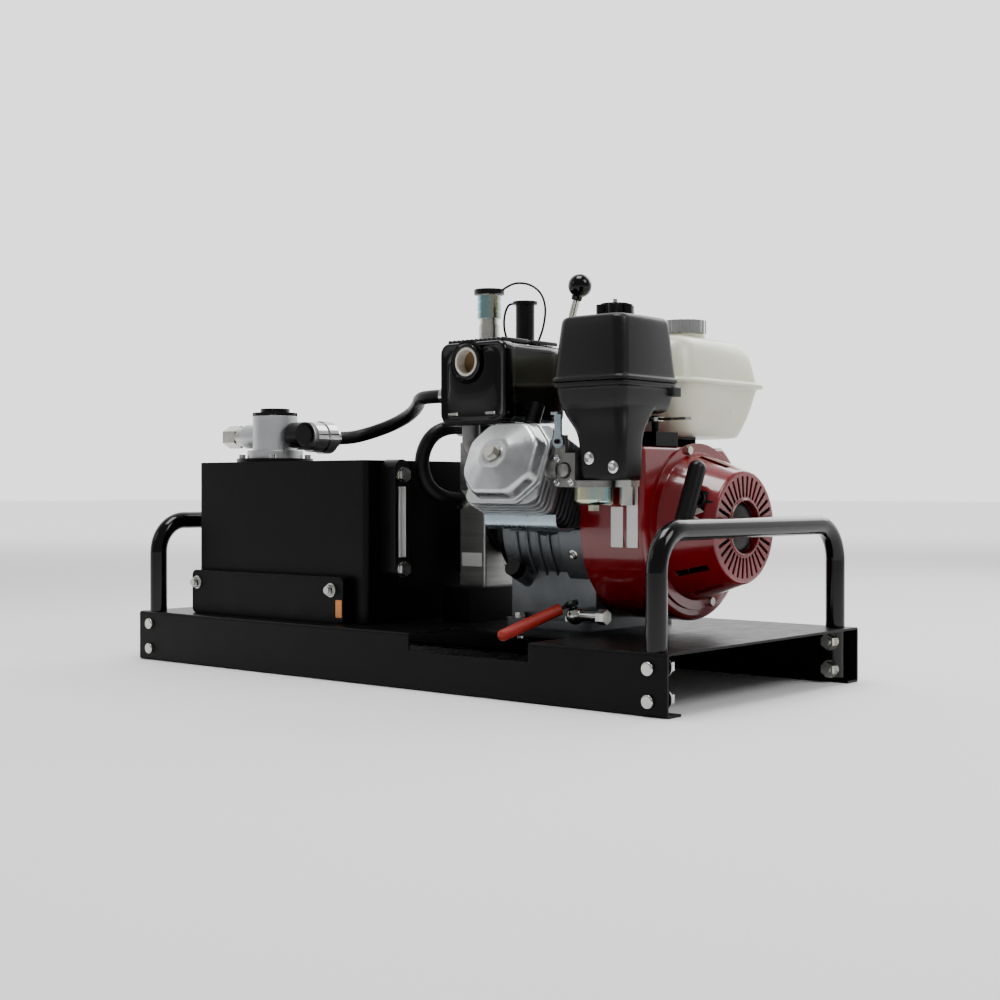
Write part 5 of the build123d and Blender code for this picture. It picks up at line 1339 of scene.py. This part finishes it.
# ------------------------------------------------------------------ engine details
@dataclass
class RecoilFace:
    """Dark hub, red rim, a black disc of painted shade behind the slots, and rope of the recoil starter."""

    crank: Point
    face: float
    rope_x: float
    rope_rise: float = 25.0
    rope_radius: float = 1.9
    rope_reach: tuple[float, float] = (80.0, 97.0)

    def _rope(self) -> None:
        """Rope that pays out from the housing's eye, in line with the grip's pull."""
        lean = math.radians(self.rope_rise)
        _, y, z = self.crank
        ends = [
            (self.rope_x, y - reach * math.cos(lean), z + reach * math.sin(lean))
            for reach in self.rope_reach
        ]
        line = np.linspace(*np.array(ends), 9) * MM
        rope = surface("starter_rope", [tube_grid(line, self.rope_radius * MM, 12)], ROPE)
        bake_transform(rope)

    def build(self) -> None:
        """Make the hub cap in the dish, the rim round it, the black disc of painted shade behind the slots
        and the rope.
        """
        self._rope()
        hub = [(0, 4.2), (14, 4.0), (25, 3.2), (30.5, 1.6), (32.2, 0.1), (0, 0.1)]
        rim = [
            (33.2, -1.2), (33.2, 0.7), (33.9, 1.2), (35.2, 1.2), (36.0, 0.5), (36.2, -1.2),
            (33.2, -1.2),
        ]
        # Black disc behind the slots: painted shade inside the starter housing, shaped like a dust screen.
        shade_disc = [(36.2, 0), (66.0, 0), (66.0, 1.2), (36.2, 1.2), (36.2, 0)]
        for name, profile, x, finish, slot in (
            ("recoil_hub", hub, self.face - 8, PLASTIC, "black_plastic"),
            ("recoil_rim", rim, self.face, RED, "red_enamel"),
            ("recoil_screen", shade_disc, self.face - 7.5, PLASTIC, "black_plastic"),
        ):
            place = tuple(c * MM for c in (x, *self.crank[1:]))
            piece = surface(name, [turned(millimetres(profile), place, (1, 0, 0), 72)], finish)
            fix(piece, slot)


@dataclass
class CastRibs:
    """Raised ribs and a shoulder round the crankcase, and screws on its flank.

    Ribs and shoulder are places along X, and each screw is its place along X and its angle
    below the level of the crank.
    """

    crank: Point
    radius: float = 100.0
    ribs: tuple[float, ...] = (132.0, 150.0, 168.0, 186.0)
    rib_size: float = 4.0
    shoulder: tuple[float, float] = (206.0, 254.0)
    shoulder_size: float = 5.0
    sweep: tuple[float, float] = (2.0, 86.0)
    steps: int = 40
    screws: tuple[tuple[float, float], ...] = ((228.0, 20.0), (228.0, 62.0), (246.0, 40.0))

    def _arc(self, x0: float, x1: float, proud: float) -> np.ndarray:
        """Band on the case from just under the cylinder to straight down.

        A point is the crank's centre + r * (-cos t, -sin t) at x, with r and x running
        round the band's closed section.

        Args:
            x0: One side of the band, in millimetres.
            x1: Other side of the band, in millimetres.
            proud: How far it stands off the case, in millimetres.

        Returns:
            Grid of points, in metres.
        """
        case = self.radius
        section = np.array([
            (x0, case - 4), (x0, case + proud * 0.6), (x0 + proud * 0.4, case + proud),
            (x1 - proud * 0.4, case + proud), (x1, case + proud * 0.6), (x1, case - 4), (x0, case - 4),
        ])
        turn = np.radians(np.linspace(*self.sweep, self.steps))[:, None]
        x = np.broadcast_to(section[:, 0], (self.steps, len(section)))
        y = self.crank[1] - section[:, 1] * np.cos(turn)
        z = self.crank[2] - section[:, 1] * np.sin(turn)
        band = np.stack([x, y, z], axis=-1)
        middles = band[[0, -1], :-1].mean(axis=1)
        ends = [np.repeat(middle[None, None], len(section), axis=1) for middle in middles]
        return np.concatenate([ends[0], band, ends[1]]) * MM

    def build(self) -> None:
        """Make the ribs and the shoulder, then the screws on the flank."""
        size = self.rib_size
        grids = [self._arc(x, x + size, size) for x in self.ribs]
        grids.append(self._arc(*self.shoulder, self.shoulder_size))
        fix(surface("crankcase_ribs", grids, DARK_CAST), "dark_casting")
        heads = []
        for x, turn in self.screws:
            out = (0.0, -math.cos(math.radians(turn)), -math.sin(math.radians(turn)))
            reach = self.radius + self.shoulder_size - 0.2
            place = (x, self.crank[1] + reach * out[1], self.crank[2] + reach * out[2])
            heads += screw_head(place, out, 4.2)
        fix(surface("crankcase_screws", heads, ZINC), "zinc")


@dataclass
class CarburettorTrim:
    """Screws, sprung idle screw and round cover on the carburettor's casting, in millimetres.

    Front screws are places along X and heights, and side screws are places along Y and heights.
    """

    front: float = -141.5
    left: float = 252.0
    front_screws: tuple[tuple[float, float], ...] = ((257.5, 262.0), (279.0, 262.0), (257.5, 291.0))
    side_screws: tuple[tuple[float, float], ...] = ((-122.0, 288.0), (-132.0, 262.0))
    cover_place: tuple[float, float] = (268.5, 276.5)
    idle_place: tuple[float, float] = (-112.0, 270.0)
    spring_reach: tuple[float, float] = (1.0, 15.0)
    spring_radius: float = 3.0
    spring_turns: int = 7
    wire_radius: float = 0.55

    def build(self) -> None:
        """Make the round cover, its screws and the sprung idle screw."""
        heads = []
        for x, z in self.front_screws:
            heads += screw_head((x, self.front - 0.2, z), (0, -1, 0), 2.7)
        for y, z in self.side_screws:
            heads += screw_head((self.left - 0.3, y, z), (-1, 0, 0), 2.6)
        screws = surface("carburettor_screws", heads, CHROME)
        cover = [(0, 4.4), (6.5, 4.4), (8.2, 3.4), (8.6, 0), (10.2, 0), (10.2, -1.2), (0, -1.2)]
        place = (self.cover_place[0] * MM, self.front * MM, self.cover_place[1] * MM)
        disc = surface("carburettor_cover", [turned(millimetres(cover), place, (0, -1, 0), 36)], GREY_CAST)
        ends = [(self.left - reach, *self.idle_place) for reach in self.spring_reach]
        line = coil_line(*ends, self.spring_radius, self.spring_turns)
        spring = surface("idle_spring", [tube_grid(line, self.wire_radius * MM, 8)], ZINC)
        stem = [(0, -1), (1.9, -1), (1.9, 15), (3.9, 15), (3.9, 18.5), (3.2, 19.2), (0, 19.2)]
        place = tuple(c * MM for c in (self.left, *self.idle_place))
        screw = surface("idle_screw", [turned(millimetres(stem), place, (-1, 0, 0), 20)], CHROME)
        fix(screws, "zinc")
        fix(disc, "cast_aluminium")
        fix(spring, "zinc")
        fix(screw, "zinc")


# ------------------------------------------------------------------ labels
@dataclass
class BlankLabels:
    """Blank label plates on the shroud, the pump block and the tank rail.

    Each row is the plate's name, the node whose front it is stuck to, its left, low, right
    and high side, how far it stands proud, in millimetres, and its finish.
    """

    plates: tuple[tuple[str, str, float, float, float, float, float, Finish], ...] = (
        ("shroud_label_tall", "fan_shroud", 327, 182, 343, 272, 0.45, LABEL),
        ("shroud_label_short", "fan_shroud", 303, 182, 321, 232, 0.45, LABEL),
        ("pump_label", "pump_housing", -13, 146, 24, 165, 0.4, LABEL),
        ("rail_tag", "tank_clamps", -86, 80, -74, 104, 1.0, ORANGE),
    )
    sunk: float = 0.1
    corner: float = 1.5

    def build(self) -> None:
        """Make each plate on the face that it belongs to."""
        for name, node, left, low, right, high, proud, finish in self.plates:
            face = -Box.of(node).front
            grid = slab_grid(
                (left, low, face - self.sunk), (right, high, face + proud), self.corner, FACING
            )
            fix(surface(name, [grid], finish), "cream_plastic")


# ------------------------------------------------------------------ carried-over nodes
@dataclass
class FrameFinishes:
    """Dresses every CAD node that stays in view."""

    nodes: dict[str, bpy.types.Object]

    def build(self) -> None:
        """Give each node its finish, then pick out the pieces that share a node."""
        for name, finish in NODE_FINISHES.items():
            dress(self.nodes[name], finish)
            LOG.info("%s finished as %s", name, finish.name)
        for name, part, low, high, finish in PICKS:
            corners = [tuple(c * MM for c in corner) for corner in (low, high)]
            dress_inside(self.nodes[name], *corners, finish)
            LOG.info("%s on %s finished as %s", part, name, finish.name)


def main() -> None:
    """Build the studio, dress the frame and add each sub-assembly in order."""
    logging.basicConfig(level=logging.INFO, format="%(message)s")
    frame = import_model()
    crank_spin = next(joint for joint in frame["joints"] if joint["name"] == "crank_spin")
    crank = tuple(round(value / MM, 2) for value in crank_spin["pos_m"])
    rope_x = Box.of("starter_grip").middle[0]
    builders = [
        Studio(),
        Plumbing(),
        FrameFinishes(frame["nodes"]),
        Silencer(Box.of("muffler")),
        AirCleaner(Box.of("air_cover"), Box.of("air_base")),
        FuelTank(Box.of("fuel_tank"), Box.of("fuel_cap")),
        RockerCover(crank),
        RecoilFace(crank, Box.of("starter_housing").right, rope_x),
        CastRibs(crank),
        CarburettorTrim(),
        BlankLabels(),
    ]
    known = set(bpy.data.objects.keys())
    for builder in builders:
        builder.build()
        for name in sorted(set(bpy.data.objects.keys()) - known):
            LOG.info("%s built %s", type(builder).__name__, name)
            known.add(name)


if __name__ == "__main__":
    main()
